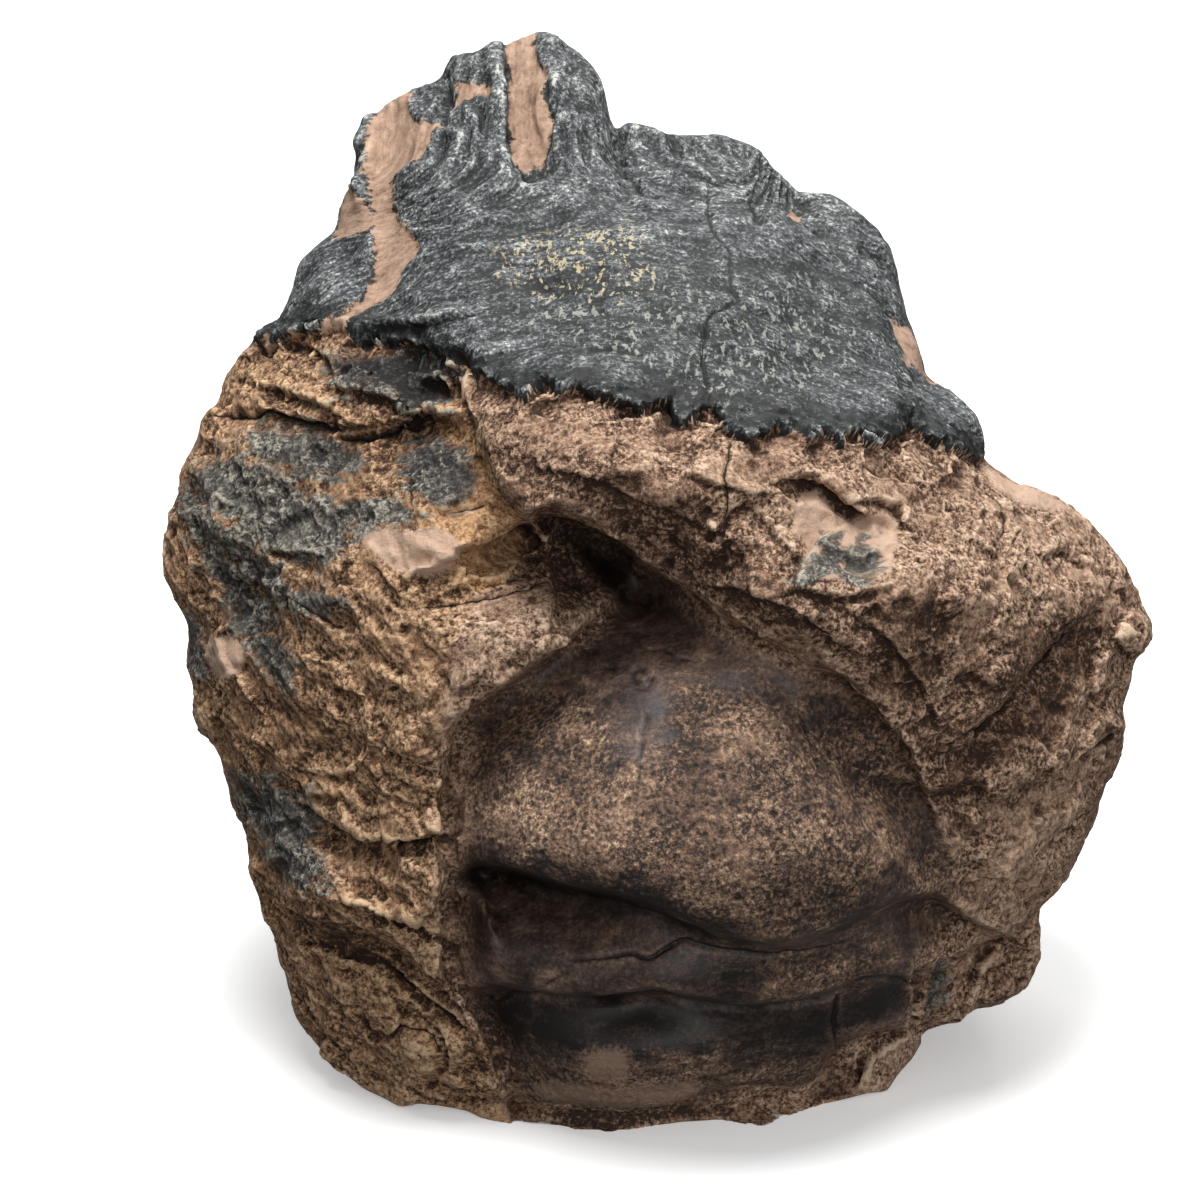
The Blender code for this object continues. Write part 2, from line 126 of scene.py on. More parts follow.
def nearest_on_path(path, grid_x, grid_y):
    """For each place: its distance from the line, its side of it, and the line's third value there."""
    best = np.full(len(grid_x), np.inf)
    side = np.zeros(len(grid_x))
    value = np.zeros(len(grid_x))
    for (ax, ay, av), (bx, by, bv) in zip(path[:-1], path[1:]):
        dx, dy = bx - ax, by - ay
        t = np.clip(((grid_x - ax) * dx + (grid_y - ay) * dy) / (dx * dx + dy * dy + 1e-9), 0, 1)
        gap = np.hypot(grid_x - ax - t * dx, grid_y - ay - t * dy)
        nearer = gap < best
        best = np.where(nearer, gap, best)
        side = np.where(nearer, np.sign(dx * (grid_y - ay) - dy * (grid_x - ax)), side)
        value = np.where(nearer, av + t * (bv - av), value)
    return best, side, value


def near_box(path, grid_x, grid_y, reach):
    """The numbers of the places that lie within reach of a line's box, to save work."""
    low, high = path[:, :2].min(0) - reach, path[:, :2].max(0) + reach
    return np.nonzero((grid_x > low[0]) & (grid_x < high[0]) & (grid_y > low[1]) & (grid_y < high[1]))[0]


def depth_inside(outline, grid_x, grid_y, reach=60.0):
    """How far inside a closed outline each place lies, in millimetres; negative outside it."""
    path = smooth_path([(x, y, 0) for x, y in outline], pieces=3, closed=True)
    found = np.full(len(grid_x), -reach * STEP_MM)
    near = near_box(path, grid_x, grid_y, reach)
    x, y = grid_x[near], grid_y[near]
    gap, _, _ = nearest_on_path(path, x, y)
    crossings = np.zeros(len(near), int)
    for (ax, ay, _), (bx, by, _) in zip(path[:-1], path[1:]):
        spans = (ay > y) != (by > y)
        at = ax + (y - ay) * (bx - ax) / (by - ay if by != ay else 1e-9)
        crossings += spans & (x < at)
    found[near] = np.where(crossings % 2 == 1, 1, -1) * np.minimum(gap, reach) * STEP_MM
    return found


# %% [markdown]
# ## Random bumps and chips that repeat exactly
# Broken stone needs bumps at many sizes. Blender's own noise works on one point at a time, which is
# slow for a fine surface. So the same ideas are written for whole arrays at once: gradient noise for
# soft bumps, and scattered cells, each tilted its own way, for chipped faces. The seed fixes the
# result, so every run gives the same stone.

# %% Noise for whole arrays
class Bumps:
    """Random bumps and chips. Places are given in sizes of the bump."""

    def __init__(self, seed):
        random = np.random.default_rng(seed)
        self.order = random.permutation(256)
        slopes = random.normal(size=(256, 3))
        self.slopes = slopes / np.linalg.norm(slopes, axis=1, keepdims=True)
        self.spots = random.random((256, 3))

    def pick(self, cell):
        at = cell & 255
        return self.order[(self.order[(self.order[at[:, 0]] + at[:, 1]) & 255] + at[:, 2]) & 255]

    def single(self, places):
        """One layer of soft bumps, between about -1 and 1."""
        cell = np.floor(places).astype(int)
        inner = places - cell
        fade = inner**3 * (inner * (inner * 6 - 15) + 10)
        total = np.zeros(len(places))
        for corner in np.ndindex(2, 2, 2):
            lean = np.einsum("ij,ij->i", self.slopes[self.pick(cell + corner)], inner - corner)
            total += lean * np.prod(np.where(corner, fade, 1 - fade), axis=1)
        return 1.6 * total

    def layered(self, places, layers=3, gain=0.5):
        """Bumps with smaller bumps on them."""
        total, height, whole = np.zeros(len(places)), 1.0, 0.0
        for layer in range(layers):
            total += height * self.single(places * 2.03**layer + 17.3 * layer)
            whole += height
            height *= gain
        return total / whole * 1.4

    def cells(self, places):
        """The distance to the nearest of many scattered points, and the tilt of that point's face."""
        cell = np.floor(places).astype(int)
        best = np.full(len(places), 9.0)
        tilt = np.zeros(len(places))
        for step in np.ndindex(3, 3, 3):
            at = cell + step - 1
            pick = self.pick(at)
            away = places - at - self.spots[pick]
            gap = np.einsum("ij,ij->i", away, away)
            closer = gap < best
            best = np.where(closer, gap, best)
            tilt = np.where(closer, np.einsum("ij,ij->i", away, self.slopes[pick]), tilt)
        return np.sqrt(best), tilt


TREAD_SOFTNESS = 0.12
FLAKE_DROP = 0.12


def terraces(value, steps, softness=TREAD_SOFTNESS):
    """Turns a smooth value into flat treads with steep risers between them."""
    level = value * steps
    whole = np.floor(level)
    return (whole + soft_step(level - whole, 0.5 - softness, 0.5 + softness)) / steps


def shingles(value, drop=FLAKE_DROP):
    """Turns a rising value into overlapping flakes: each rises slowly and ends in a sharp drop."""
    part = value - np.floor(value)
    return np.where(part < 1 - drop, part / (1 - drop), (1 - part) / drop)


line = np.column_stack([np.linspace(0, 9, 200), np.zeros(200), np.zeros(200)])
bumps = Bumps(1).layered(line)
print("bumps along a line go from", round(float(bumps.min()), 2), "to", round(float(bumps.max()), 2))


# %% [markdown]
# ## The form of the tooth
# The tooth's outline, the heights of its two faces and its lips are driving values. They repeat those
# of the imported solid, because a finer surface has to lie where the solid is. The outline has more
# points than the solid's, for its small chips.

# %% Outline and rim
OUTLINE = [
    (537, 29), (550, 33), (564, 43), (577, 52), (584, 61), (592, 71), (598, 81), (602, 93), (604, 105),
    (606, 116), (609, 126), (618, 138), (622, 127), (628, 123), (641, 127), (655, 130), (666, 134),
    (677, 136), (700, 134), (722, 133), (735, 137), (748, 142), (760, 150), (766, 159), (770, 166),
    (781, 175), (788, 184), (794, 191), (811, 192), (834, 196), (845, 203), (856, 210), (867, 220),
    (878, 231), (886, 246), (893, 265), (897, 287), (901, 301), (904, 316), (915, 340), (921, 360),
    (923, 374), (936, 383), (948, 391), (961, 400), (974, 413), (980, 430), (982, 443), (980, 457),
    (990, 465), (1000, 472), (1011, 480), (1022, 486), (1044, 492), (1057, 499), (1070, 507),
    (1080, 515), (1089, 524), (1105, 543), (1118, 559), (1130, 579), (1138, 594), (1142, 610),
    (1150, 626), (1151, 638), (1138, 650), (1132, 665), (1129, 687), (1122, 701), (1120, 714),
    (1126, 720), (1124, 741), (1122, 754), (1114, 770), (1105, 783), (1100, 799), (1091, 824),
    (1079, 850), (1067, 875), (1056, 889), (1047, 899), (1040, 901), (1036, 910), (1039, 936),
    (1041, 955), (1031, 981), (1019, 993), (996, 1003), (974, 1008), (961, 1019), (942, 1022),
    (923, 1028), (921, 1041), (910, 1060), (897, 1076), (888, 1091), (872, 1091), (856, 1095),
    (827, 1103), (805, 1110), (784, 1119), (776, 1127), (760, 1132), (744, 1124), (722, 1119),
    (684, 1121), (655, 1126), (614, 1132), (580, 1130), (533, 1129), (507, 1124), (485, 1119),
    (469, 1111), (447, 1107), (424, 1103), (402, 1108), (386, 1099), (364, 1089), (348, 1076),
    (329, 1057), (313, 1041), (300, 1025), (292, 1006), (287, 987), (281, 961), (274, 936),
    (265, 920), (260, 898), (252, 879), (250, 847), (242, 821), (233, 805), (230, 783), (222, 761),
    (209, 738), (198, 730), (192, 711), (192, 683), (186, 660), (189, 625), (182, 609), (171, 593),
    (163, 565), (165, 536), (169, 517), (181, 498), (182, 472), (192, 456), (198, 440), (200, 424),
    (206, 415), (216, 408), (225, 380), (238, 361), (257, 341), (267, 331), (281, 325), (285, 306),
    (292, 287), (298, 265), (316, 246), (335, 233), (338, 226), (337, 217), (341, 204), (351, 185),
    (357, 166), (360, 140), (367, 118), (376, 110), (392, 100), (408, 92), (424, 83), (437, 80),
    (447, 64), (459, 54), (478, 54), (491, 43), (501, 48), (517, 40),
]

# How deep the rim lies at some of those places: grid x, grid y, depth
RIM_DEPTHS = [
    (537, 29, -6), (564, 43, -6), (598, 81, -4), (618, 137, -1), (628, 123, -3), (722, 133, -4),
    (794, 191, -2), (834, 196, -2), (893, 265, 0), (904, 316, 2), (923, 374, 6), (974, 413, 13),
    (981, 432, 14), (980, 457, 15), (1022, 486, 10), (1044, 492, 8), (1070, 507, 7), (1118, 559, 5),
    (1150, 626, 4), (1122, 754, 4), (1105, 783, 5), (1067, 875, 6), (1037, 914, 3), (1040, 950, 2),
    (1031, 981, 1), (961, 1019, 0), (910, 1060, -1), (886, 1091, 2), (856, 1095, 5), (784, 1119, 11),
    (770, 1130, 13), (758, 1132, 14), (722, 1120, 11), (614, 1131, 14), (533, 1129, 13),
    (485, 1119, 11), (469, 1111, 10), (424, 1103, 8), (402, 1108, 8), (364, 1089, 3),
    (300, 1025, -1), (252, 879, 0), (281, 326, -1), (298, 265, -4), (335, 233, -6), (341, 204, -9),
    (367, 118, -9), (424, 83, -8), (437, 80, -7), (501, 48, -7),
]


def rim_at(angles):
    """The outline as a radius and a depth for each direction from the middle of the grid."""
    def by_angle(points):
        p = np.array(points, float)
        x, y = p[:, 0] - GRID_MIDDLE[0], GRID_MIDDLE[1] - p[:, 1]
        order = np.argsort(np.arctan2(y, x))
        return np.arctan2(y, x)[order], np.hypot(x, y)[order], p[order]

    rim_angles, radius, _ = by_angle(OUTLINE)
    depth_angles, _, known = by_angle(RIM_DEPTHS)
    return (np.interp(angles, rim_angles, radius, period=2 * math.pi),
            np.interp(angles, depth_angles, known[:, 2], period=2 * math.pi))


print("outline points:", len(OUTLINE))

# %% Heights of the two faces
FRONT_HEIGHTS = [
    # the black crown, which slopes back from its ragged front edge to the crest
    (530, 60, 2), (460, 90, 1), (400, 130, 0), (590, 110, 4), (560, 160, 9), (440, 180, 9),
    (650, 160, 4), (740, 180, 5), (840, 230, 6), (640, 230, 18), (520, 240, 18), (740, 250, 18),
    (400, 250, 12), (320, 290, 9), (860, 300, 14), (600, 310, 31), (700, 330, 34), (480, 320, 29),
    (820, 370, 30), (900, 380, 25), (560, 375, 40), (700, 405, 42), (850, 425, 38), (950, 430, 26),
    # the brow under it, and its long slope down to the right
    (500, 430, 42), (580, 457, 47), (680, 480, 49), (780, 500, 47), (610, 515, 43), (700, 560, 43),
    (790, 580, 48), (880, 540, 43), (890, 590, 47), (870, 650, 43), (960, 500, 32), (965, 590, 41),
    (945, 690, 37),
    # the right lobe
    (1040, 550, 24), (1090, 580, 18), (1050, 640, 26), (1100, 680, 19), (1030, 730, 29),
    (1070, 780, 20), (1000, 860, 23), (1030, 900, 15), (940, 860, 27), (990, 960, 11),
    # the flaky rock at the left, under the crown
    (280, 370, 12), (370, 370, 22), (430, 400, 29), (240, 440, 14), (330, 460, 24), (420, 480, 34),
    (210, 560, 15), (300, 560, 26), (400, 560, 37), (490, 560, 42), (520, 640, 42), (420, 650, 38),
    # the long left flank
    (230, 680, 15), (300, 690, 25), (400, 740, 34), (270, 790, 15), (340, 800, 25), (420, 860, 31),
    (310, 900, 17), (380, 950, 22), (330, 990, 13), (400, 1030, 16), (450, 1080, 12), (470, 980, 25),
    # the smooth dome and the folds under it
    (640, 600, 36), (640, 660, 39), (560, 700, 38), (480, 780, 35), (690, 740, 43), (590, 840, 43),
    (740, 870, 45), (860, 770, 40), (890, 840, 38), (700, 925, 42), (560, 955, 32), (800, 975, 33),
    (900, 945, 26), (560, 1040, 25), (700, 1040, 26), (820, 1030, 20), (880, 1060, 9),
    (620, 1095, 20), (740, 1080, 17), (540, 1095, 17),
]
BACK_HEIGHTS = [
    (540, 100, -20), (420, 150, -24), (680, 190, -30), (800, 240, -28), (330, 300, -30),
    (600, 230, -42), (740, 300, -46), (460, 270, -42), (880, 380, -38), (600, 420, -60),
    (760, 450, -60), (420, 420, -54), (260, 440, -36), (980, 500, -40), (900, 560, -54),
    (600, 620, -66), (740, 640, -64), (400, 620, -58), (240, 620, -34), (1060, 640, -34),
    (600, 780, -66), (780, 780, -62), (420, 780, -56), (290, 800, -34), (980, 780, -42),
    (600, 880, -62), (760, 900, -56), (450, 890, -50), (330, 920, -29), (900, 880, -44),
    (600, 980, -48), (760, 990, -38), (470, 990, -32), (600, 1070, -27), (740, 1070, -20),
]
SPLINE_STEPS = 100.0
SPLINE_SMOOTHING = 0.01


def smooth_surface(heights, grid_x, grid_y):
    """A smooth surface through a few chosen heights (a thin plate spline)."""
    known = np.array(heights, float)
    xy = known[:, :2] / SPLINE_STEPS

    def pull(distance):
        return distance**2 * np.log(np.maximum(distance, 1e-9))

    count = len(known)
    system = np.zeros((count + 3, count + 3))
    system[:count, :count] = pull(np.hypot(*(xy[:, None] - xy[None]).transpose(2, 0, 1)))
    system[:count, :count] += SPLINE_SMOOTHING * np.eye(count)
    system[:count, count:] = np.column_stack([np.ones(count), xy])
    system[count:, :count] = system[:count, count:].T
    weights = np.linalg.solve(system, np.append(known[:, 2], np.zeros(3)))
    at = np.column_stack([grid_x, grid_y]) / SPLINE_STEPS
    surface = weights[count] + at @ weights[count + 1:]
    for (near_x, near_y), weight in zip(xy, weights[:count]):
        surface += weight * pull(np.hypot(at[:, 0] - near_x, at[:, 1] - near_y))
    return surface


middle_height = smooth_surface(FRONT_HEIGHTS, np.array([GRID_MIDDLE[0]]), np.array([GRID_MIDDLE[1]]))
print("the front's height in the middle of the grid:", round(float(middle_height[0]), 1), "mm")


# %% [markdown]
# ## Lips, ledges and grooves
# A ledge is a line along which one side stands proud of the other. The proud side is at the left hand
# of someone who walks along the line. Both sides fade into the face around it, so a ledge changes
# nothing far away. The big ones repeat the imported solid's.

# %% The main ledges and grooves: grid x, grid y, drop in mm; then the fade and the rise share
LEDGES = {
    "brow_side": ([(448, 372, 3), (468, 412, 5), (487, 458, 7), (500, 494, 9), (526, 521, 12)], 60, 0.2),
    "brow_lip": (
        [(526, 521, 12), (545, 513, 23), (580, 520, 26), (620, 543, 24), (642, 562, 19),
         (690, 592, 11), (740, 625, 7), (800, 655, 5), (845, 678, 5), (880, 708, 6),
         (905, 745, 6), (918, 775, 4)], 76, 0.12,
    ),
    "shoulder": (
        [(506, 1100, 5), (494, 1056, 6), (480, 1020, 6), (452, 988, 7), (443, 950, 7),
         (441, 880, 6), (441, 830, 5), (440, 790, 5), (447, 750, 7), (455, 724, 9),
         (472, 706, 10), (505, 688, 10), (548, 655, 9), (578, 632, 7), (600, 612, 3)], 56, 0.12,
    ),
    "dome_lip": (
        [(455, 884, 7), (470, 868, 14), (490, 866, 18), (530, 875, 18), (570, 887, 17),
         (610, 893, 14), (650, 904, 10), (690, 922, 8), (740, 940, 7), (785, 944, 7),
         (830, 931, 7), (870, 914, 8), (905, 899, 10), (932, 897, 11), (955, 908, 9)], 56, 0.15,
    ),
    "second_lip": (
        [(470, 990, 3), (500, 986, 4), (560, 995, 6), (610, 997, 9), (650, 992, 11),
         (700, 999, 9), (745, 1005, 6), (795, 1001, 5), (835, 989, 5), (905, 974, 5)], 44, 0.15,
    ),
    "third_lip": (
        [(490, 1098, 3), (540, 1103, 5), (600, 1104, 7), (650, 1107, 7), (685, 1097, 7),
         (715, 1088, 7), (760, 1084, 7), (800, 1086, 8), (818, 1073, 9), (830, 1050, 10),
         (850, 1036, 9), (905, 1026, 6)], 46, 0.1,
    ),
    "left_gap": (
        [(222, 412, 2), (262, 412, 3), (300, 417, 4), (340, 426, 4), (400, 424, 4),
         (448, 420, 4)], 24, 0.3,
    ),
    "right_gap": (
        [(905, 782, 3), (940, 792, 5), (975, 782, 5), (1000, 795, 5), (1020, 783, 5),
         (1048, 779, 4), (1085, 748, 2), (1128, 722, 1)], 30, 0.2,
    ),
    "right_valley": (
        [(925, 757, 2), (965, 738, 4), (1000, 703, 6), (1035, 662, 7), (1060, 635, 6),
         (1090, 606, 3)], 60, 0.2,
    ),
    "lower_right_lip": (
        [(912, 976, 5), (935, 966, 6), (968, 948, 6), (1000, 938, 6), (1022, 925, 5),
         (1040, 905, 4)], 34, 0.2,
    ),
    "brow_scoop": (
        [(785, 484, 1), (812, 476, 3), (838, 490, 4), (862, 512, 3), (890, 521, 1)], 40, 0.2,
    ),
    "left_slot": (
        [(300, 917, 4), (340, 928, 6), (380, 940, 6), (412, 964, 5), (446, 992, 4)], 26, 0.2,
    ),
}
BACK_LEDGES = {
    "plate_foot": (
        [(215, 590, 2), (330, 640, 3), (450, 690, 3), (560, 665, 2), (660, 700, 3), (780, 720, 3),
         (880, 665, 3), (1000, 650, 2), (1100, 610, 2)], 60, 0.4,
    ),
    "root_fold": (
        [(250, 800, 4), (380, 850, 6), (500, 880, 7), (600, 850, 6), (700, 870, 7), (800, 840, 7),
         (930, 800, 6), (1080, 740, 4)], 70, 0.3,
    ),
    "foot_fold": (
        [(300, 930, 3), (420, 925, 3), (540, 950, 3), (680, 930, 3), (800, 935, 3), (980, 900, 3)],
        40, 0.5,
    ),
}
LEDGE_SOFTNESS = 4
LEDGE_REACH = 2.4

GROOVES = {
    "crown_notch": ([(617, 138, -7), (622, 175, -4), (632, 215, -1)], 14),
    "cement_strip": ([(517, 45, -3), (522, 90, -3), (530, 155, -3)], 17),
    "left_strip": ([(392, 104, -3), (394, 150, -4), (386, 210, -4), (384, 260, -3), (362, 310, -2)], 22),
    "left_plate": ([(362, 124, 2), (360, 170, 2), (356, 205, 2)], 12),
    "far_notch": ([(790, 190, -5), (812, 215, -3), (850, 260, -1)], 16),
    "left_rim": ([(186, 500, 1), (215, 522, 2), (248, 556, 2), (290, 592, 1), (320, 620, 0)], 20),
    "left_hollow": ([(196, 520, -1), (222, 565, -3), (250, 610, -3), (268, 660, -1)], 22),
    "left_fold": ([(245, 760, 1), (275, 830, 2), (300, 880, 3), (350, 905, 3), (400, 900, 1)], 26),
    "dome_right": ([(790, 690, -1), (830, 740, -2), (880, 800, -2), (925, 850, -1)], 30),
    "brow_step": ([(700, 575, 0), (760, 590, 2), (830, 625, 2), (890, 665, 1)], 22),
    "lobe_step": ([(980, 505, 1), (1030, 540, 2), (1080, 600, 2), (1120, 640, 1)], 24),
}
BACK_GROOVES = {
    "root_valley": ([(640, 700, -2), (655, 800, -7), (650, 900, -9), (640, 1010, -6)], 60),
    "side_scoop": ([(880, 420, -2), (930, 560, -5), (950, 700, -4), (960, 800, -1)], 44),
    "far_scoop": ([(330, 420, -2), (310, 560, -4), (330, 700, -3)], 40),
}


def carve(ledges, grooves, grid_x, grid_y, softness=LEDGE_SOFTNESS):
    """How far the ledges and grooves raise or cut each place, in millimetres."""
    relief = np.zeros(len(grid_x))
    for points, half_width in grooves.values():
        path = smooth_path(points)
        near = near_box(path, grid_x, grid_y, LEDGE_REACH * half_width)
        gap, _, height = nearest_on_path(path, grid_x[near], grid_y[near])
        relief[near] += height * np.exp(-((gap / half_width) ** 2))
    for points, fade, rise in ledges.values():
        path = smooth_path(points)
        near = near_box(path, grid_x, grid_y, LEDGE_REACH * fade)
        gap, side, drop = nearest_on_path(path, grid_x[near], grid_y[near])
        low_side = soft_step(side * gap, -softness, softness)
        step = rise * (1 - low_side) - (1 - rise) * low_side
        relief[near] += drop * step * np.exp(-((gap / fade) ** 2))
    return relief


print("main ledges and grooves:", len(LEDGES) + len(BACK_LEDGES), "and", len(GROOVES) + len(BACK_GROOVES))

# %% [markdown]
# ## Pressing a ball into the tooth
# An icosphere has even faces and no poles. Its equator is pressed into the outline, and its halves are
# raised to the two faces, as one would press clay into a mould. The hidden face has upright plates
# side by side with cement between them. Where the press stretches the ball, a voxel remesh evens the
# faces out again.

# %% Press the ball
PLATE_PITCH = 74.0
PLATE_HEIGHT = 2.6
PLATE_BLUNTNESS = 0.7
PLATE_TOP = 120.0
PLATE_FOOT = 720.0
PLATE_FADE = 180.0
PLATE_BOW = 46.0
PLATE_BOW_LENGTH = 420.0
BALL_SUBDIVISIONS = 8
FRONT_TURN = 0.42
FRONT_TURN_POWER = 0.8
BACK_TURN = 0.75


def plate_wave(grid_x, grid_y):
    """The upright plates of the hidden face: 1 on a plate, 0 in the cement between two."""
    bowed = grid_x + PLATE_BOW * np.sin((grid_y - PLATE_TOP) / PLATE_BOW_LENGTH)
    return np.abs(np.sin(np.pi * bowed / PLATE_PITCH))


def back_depth(grid_x, grid_y):
    depth = smooth_surface(BACK_HEIGHTS, grid_x, grid_y)
    share = 1 - soft_step(grid_y, PLATE_FOOT - PLATE_FADE, PLATE_FOOT)
    depth -= PLATE_HEIGHT * (plate_wave(grid_x, grid_y) ** PLATE_BLUNTNESS - 0.5) * share
    return depth - carve(BACK_LEDGES, BACK_GROOVES, grid_x, grid_y)


def press_ball():
    ball = bmesh.new()
    bmesh.ops.create_icosphere(ball, subdivisions=BALL_SUBDIVISIONS, radius=1.0)
    unit = np.array([v.co for v in ball.verts])
    angles = np.arctan2(unit[:, 2], unit[:, 0])
    reach = np.hypot(unit[:, 0], unit[:, 2])
    radius, rim_depth = rim_at(angles)
    grid_x = GRID_MIDDLE[0] + radius * reach * np.cos(angles)
    grid_y = GRID_MIDDLE[1] - radius * reach * np.sin(angles)
    from_rim = np.abs(unit[:, 1])
    front_share = np.minimum(1, from_rim / FRONT_TURN) ** FRONT_TURN_POWER
    back_share = np.sqrt(1 - (1 - np.minimum(1, from_rim / BACK_TURN)) ** 2)
    front = smooth_surface(FRONT_HEIGHTS, grid_x, grid_y) + carve(LEDGES, GROOVES, grid_x, grid_y)
    front = rim_depth + (front - rim_depth) * front_share
    back = rim_depth + (back_depth(grid_x, grid_y) - rim_depth) * back_share
    places = place(grid_x, grid_y, np.where(unit[:, 1] < 0, front, back))
    for vert, at in zip(ball.verts, places):
        vert.co = at
    mesh = bpy.data.meshes.new("tooth_surface")
    ball.to_mesh(mesh)
    ball.free()
    return mesh


tooth = bpy.data.objects.new("tooth_surface", press_ball())
bpy.context.scene.collection.objects.link(tooth)
print("pressed ball:", len(tooth.data.vertices), "vertices")

# %% Even the faces out
COARSE_VOXEL = 0.0006
FINE_VOXEL = 0.00034


def apply_modifiers(obj):
    graph = bpy.context.evaluated_depsgraph_get()
    mesh = bpy.data.meshes.new_from_object(obj.evaluated_get(graph))
    obj.modifiers.clear()
    obj.data = mesh
    mesh.name = obj.name


def even_out(obj, size):
    remesh = obj.modifiers.new("Remesh", "REMESH")
    remesh.mode = "VOXEL"
    remesh.voxel_size = size
    apply_modifiers(obj)


def vertex_array(mesh, name="co"):
    values = np.empty(len(mesh.vertices) * 3, np.float32)
    mesh.vertices.foreach_get(name, values)
    return values.reshape(-1, 3).astype(float)


def set_vertices(mesh, places):
    mesh.vertices.foreach_set("co", places.astype(np.float32).ravel())
    mesh.update()


even_out(tooth, COARSE_VOXEL)
print("evened out:", len(tooth.data.vertices), "vertices")

# %% [markdown]
# ## What the surface is made of, place by place
# The tooth has no seams between its materials, so they are told apart by outlines on the layout grid:
# the black crown, the strips of cement in it, the waxy polish on the folds, the black stains. Each
# outline gives a distance in millimetres, positive inside. The shape steps use these distances now,
# and later the finishes read the same ones from the finished mesh. Painted shade has outlines too:
# they mark hollows, undersides and lips that the finishes darken beyond the shade that the light
# casts there.

# %% Outlines of the materials
CROWN = [
    (262, 346), (283, 339), (300, 333), (336, 325), (352, 334), (372, 338), (398, 341), (420, 346),
    (434, 352), (448, 360), (470, 372), (490, 380), (505, 388), (522, 397), (535, 386), (548, 385),
    (562, 390), (580, 388), (595, 396), (628, 404), (650, 408), (667, 403), (672, 417), (692, 422),
    (700, 411), (723, 416), (728, 429), (753, 438), (769, 429), (789, 427), (814, 438), (825, 432),
    (843, 443), (850, 432), (888, 443), (901, 432), (906, 413), (917, 429), (947, 444), (975, 458),
    (986, 452), (1010, 420), (980, 330), (920, 180), (800, 100), (660, 50), (560, -30), (420, 20),
    (320, 100), (270, 200), (240, 300),
]
BACK_CROWN = [
    (240, 330), (300, 420), (350, 520), (420, 610), (520, 640), (600, 650), (680, 680), (780, 690),
    (870, 650), (930, 590), (960, 500), (985, 455), (1010, 420), (980, 330), (920, 180), (800, 100),
    (660, 50), (560, -30), (420, 20), (320, 100), (270, 200),
]
CEMENT_STRIPS = {
    "tall_strip": [
        (502, 40), (515, 36), (532, 34), (534, 58), (543, 71), (545, 97), (547, 122), (545, 140),
        (538, 158), (526, 168), (515, 155), (511, 132), (510, 97), (507, 71),
    ],
    "left_strip": [
        (376, 98), (405, 86), (411, 114), (416, 121), (433, 121), (428, 137), (418, 158), (396, 173),
        (391, 190), (394, 206), (396, 220), (415, 240), (416, 252), (399, 270), (395, 290), (373, 308),
        (355, 320), (330, 338), (296, 346), (262, 350), (268, 341), (303, 336), (336, 323), (357, 304),
        (371, 275), (372, 224), (369, 199), (369, 148), (373, 122),
    ],
    "top_spot": [(459, 84), (475, 88), (487, 86), (487, 97), (468, 101), (449, 109), (452, 96)],
    "left_lump": [(352, 192), (366, 203), (372, 222), (360, 234), (330, 236), (325, 212), (338, 196)],
    "right_sliver": [(888, 312), (900, 322), (925, 335), (935, 385), (918, 372), (905, 358), (893, 336)],
    "far_spot": [(789, 208), (799, 212), (797, 220), (788, 217)],
}
STAINS = {
    "chip": [
        (331, 361), (362, 355), (423, 353), (434, 370), (439, 410), (420, 414), (398, 415), (391, 396),
        (354, 388), (334, 384),
    ],
    "lens": [
        (249, 439), (267, 433), (303, 433), (339, 443), (360, 462), (345, 474), (330, 480), (300, 474),
        (268, 462),
    ],
    "swirl": [
        (196, 474), (232, 458), (262, 470), (300, 492), (345, 500), (405, 506), (402, 524), (356, 524),
        (345, 548), (320, 562), (286, 556), (258, 548), (232, 524), (206, 504),
    ],
    "fan": [
        (415, 440), (440, 440), (458, 454), (474, 482), (452, 502), (418, 496), (404, 470),
    ],
    "left_edge": [
        (176, 500), (196, 500), (222, 528), (248, 550), (275, 572), (300, 590), (334, 604), (320, 616),
        (288, 606), (258, 590), (236, 566), (210, 544), (186, 520),
    ],
    "flank": [
        (190, 516), (202, 532), (224, 566), (246, 586), (262, 604), (272, 640), (294, 672), (288, 686),
        (266, 668), (246, 640), (230, 606), (206, 566),
    ],
    "rim_spot": [(176, 624), (199, 628), (201, 664), (190, 674), (174, 662)],
    "low_patch": [
        (232, 780), (262, 784), (282, 795), (305, 806), (309, 824), (314, 848), (321, 886), (306, 884),
        (284, 870), (268, 850), (256, 830), (240, 806),
    ],
    "brow_patch": [
        (798, 577), (814, 552), (834, 537), (848, 549), (860, 539), (876, 550), (873, 568), (860, 576),
        (838, 571), (816, 577),
    ],
    "low_corner": [(910, 956), (930, 962), (944, 980), (930, 1004), (914, 1000), (906, 976)],
}
WAXY = {
    "folds": [
        (468, 715), (486, 706), (524, 668), (577, 640), (604, 604), (548, 524), (640, 562), (700, 612),
        (760, 650), (850, 690), (895, 740), (920, 780), (955, 850), (960, 905), (925, 960), (908, 1028),
        (850, 1040), (822, 1088), (700, 1100), (640, 1116), (508, 1112), (506, 1050), (480, 1015),
        (462, 980), (458, 880), (462, 790),
    ],
}
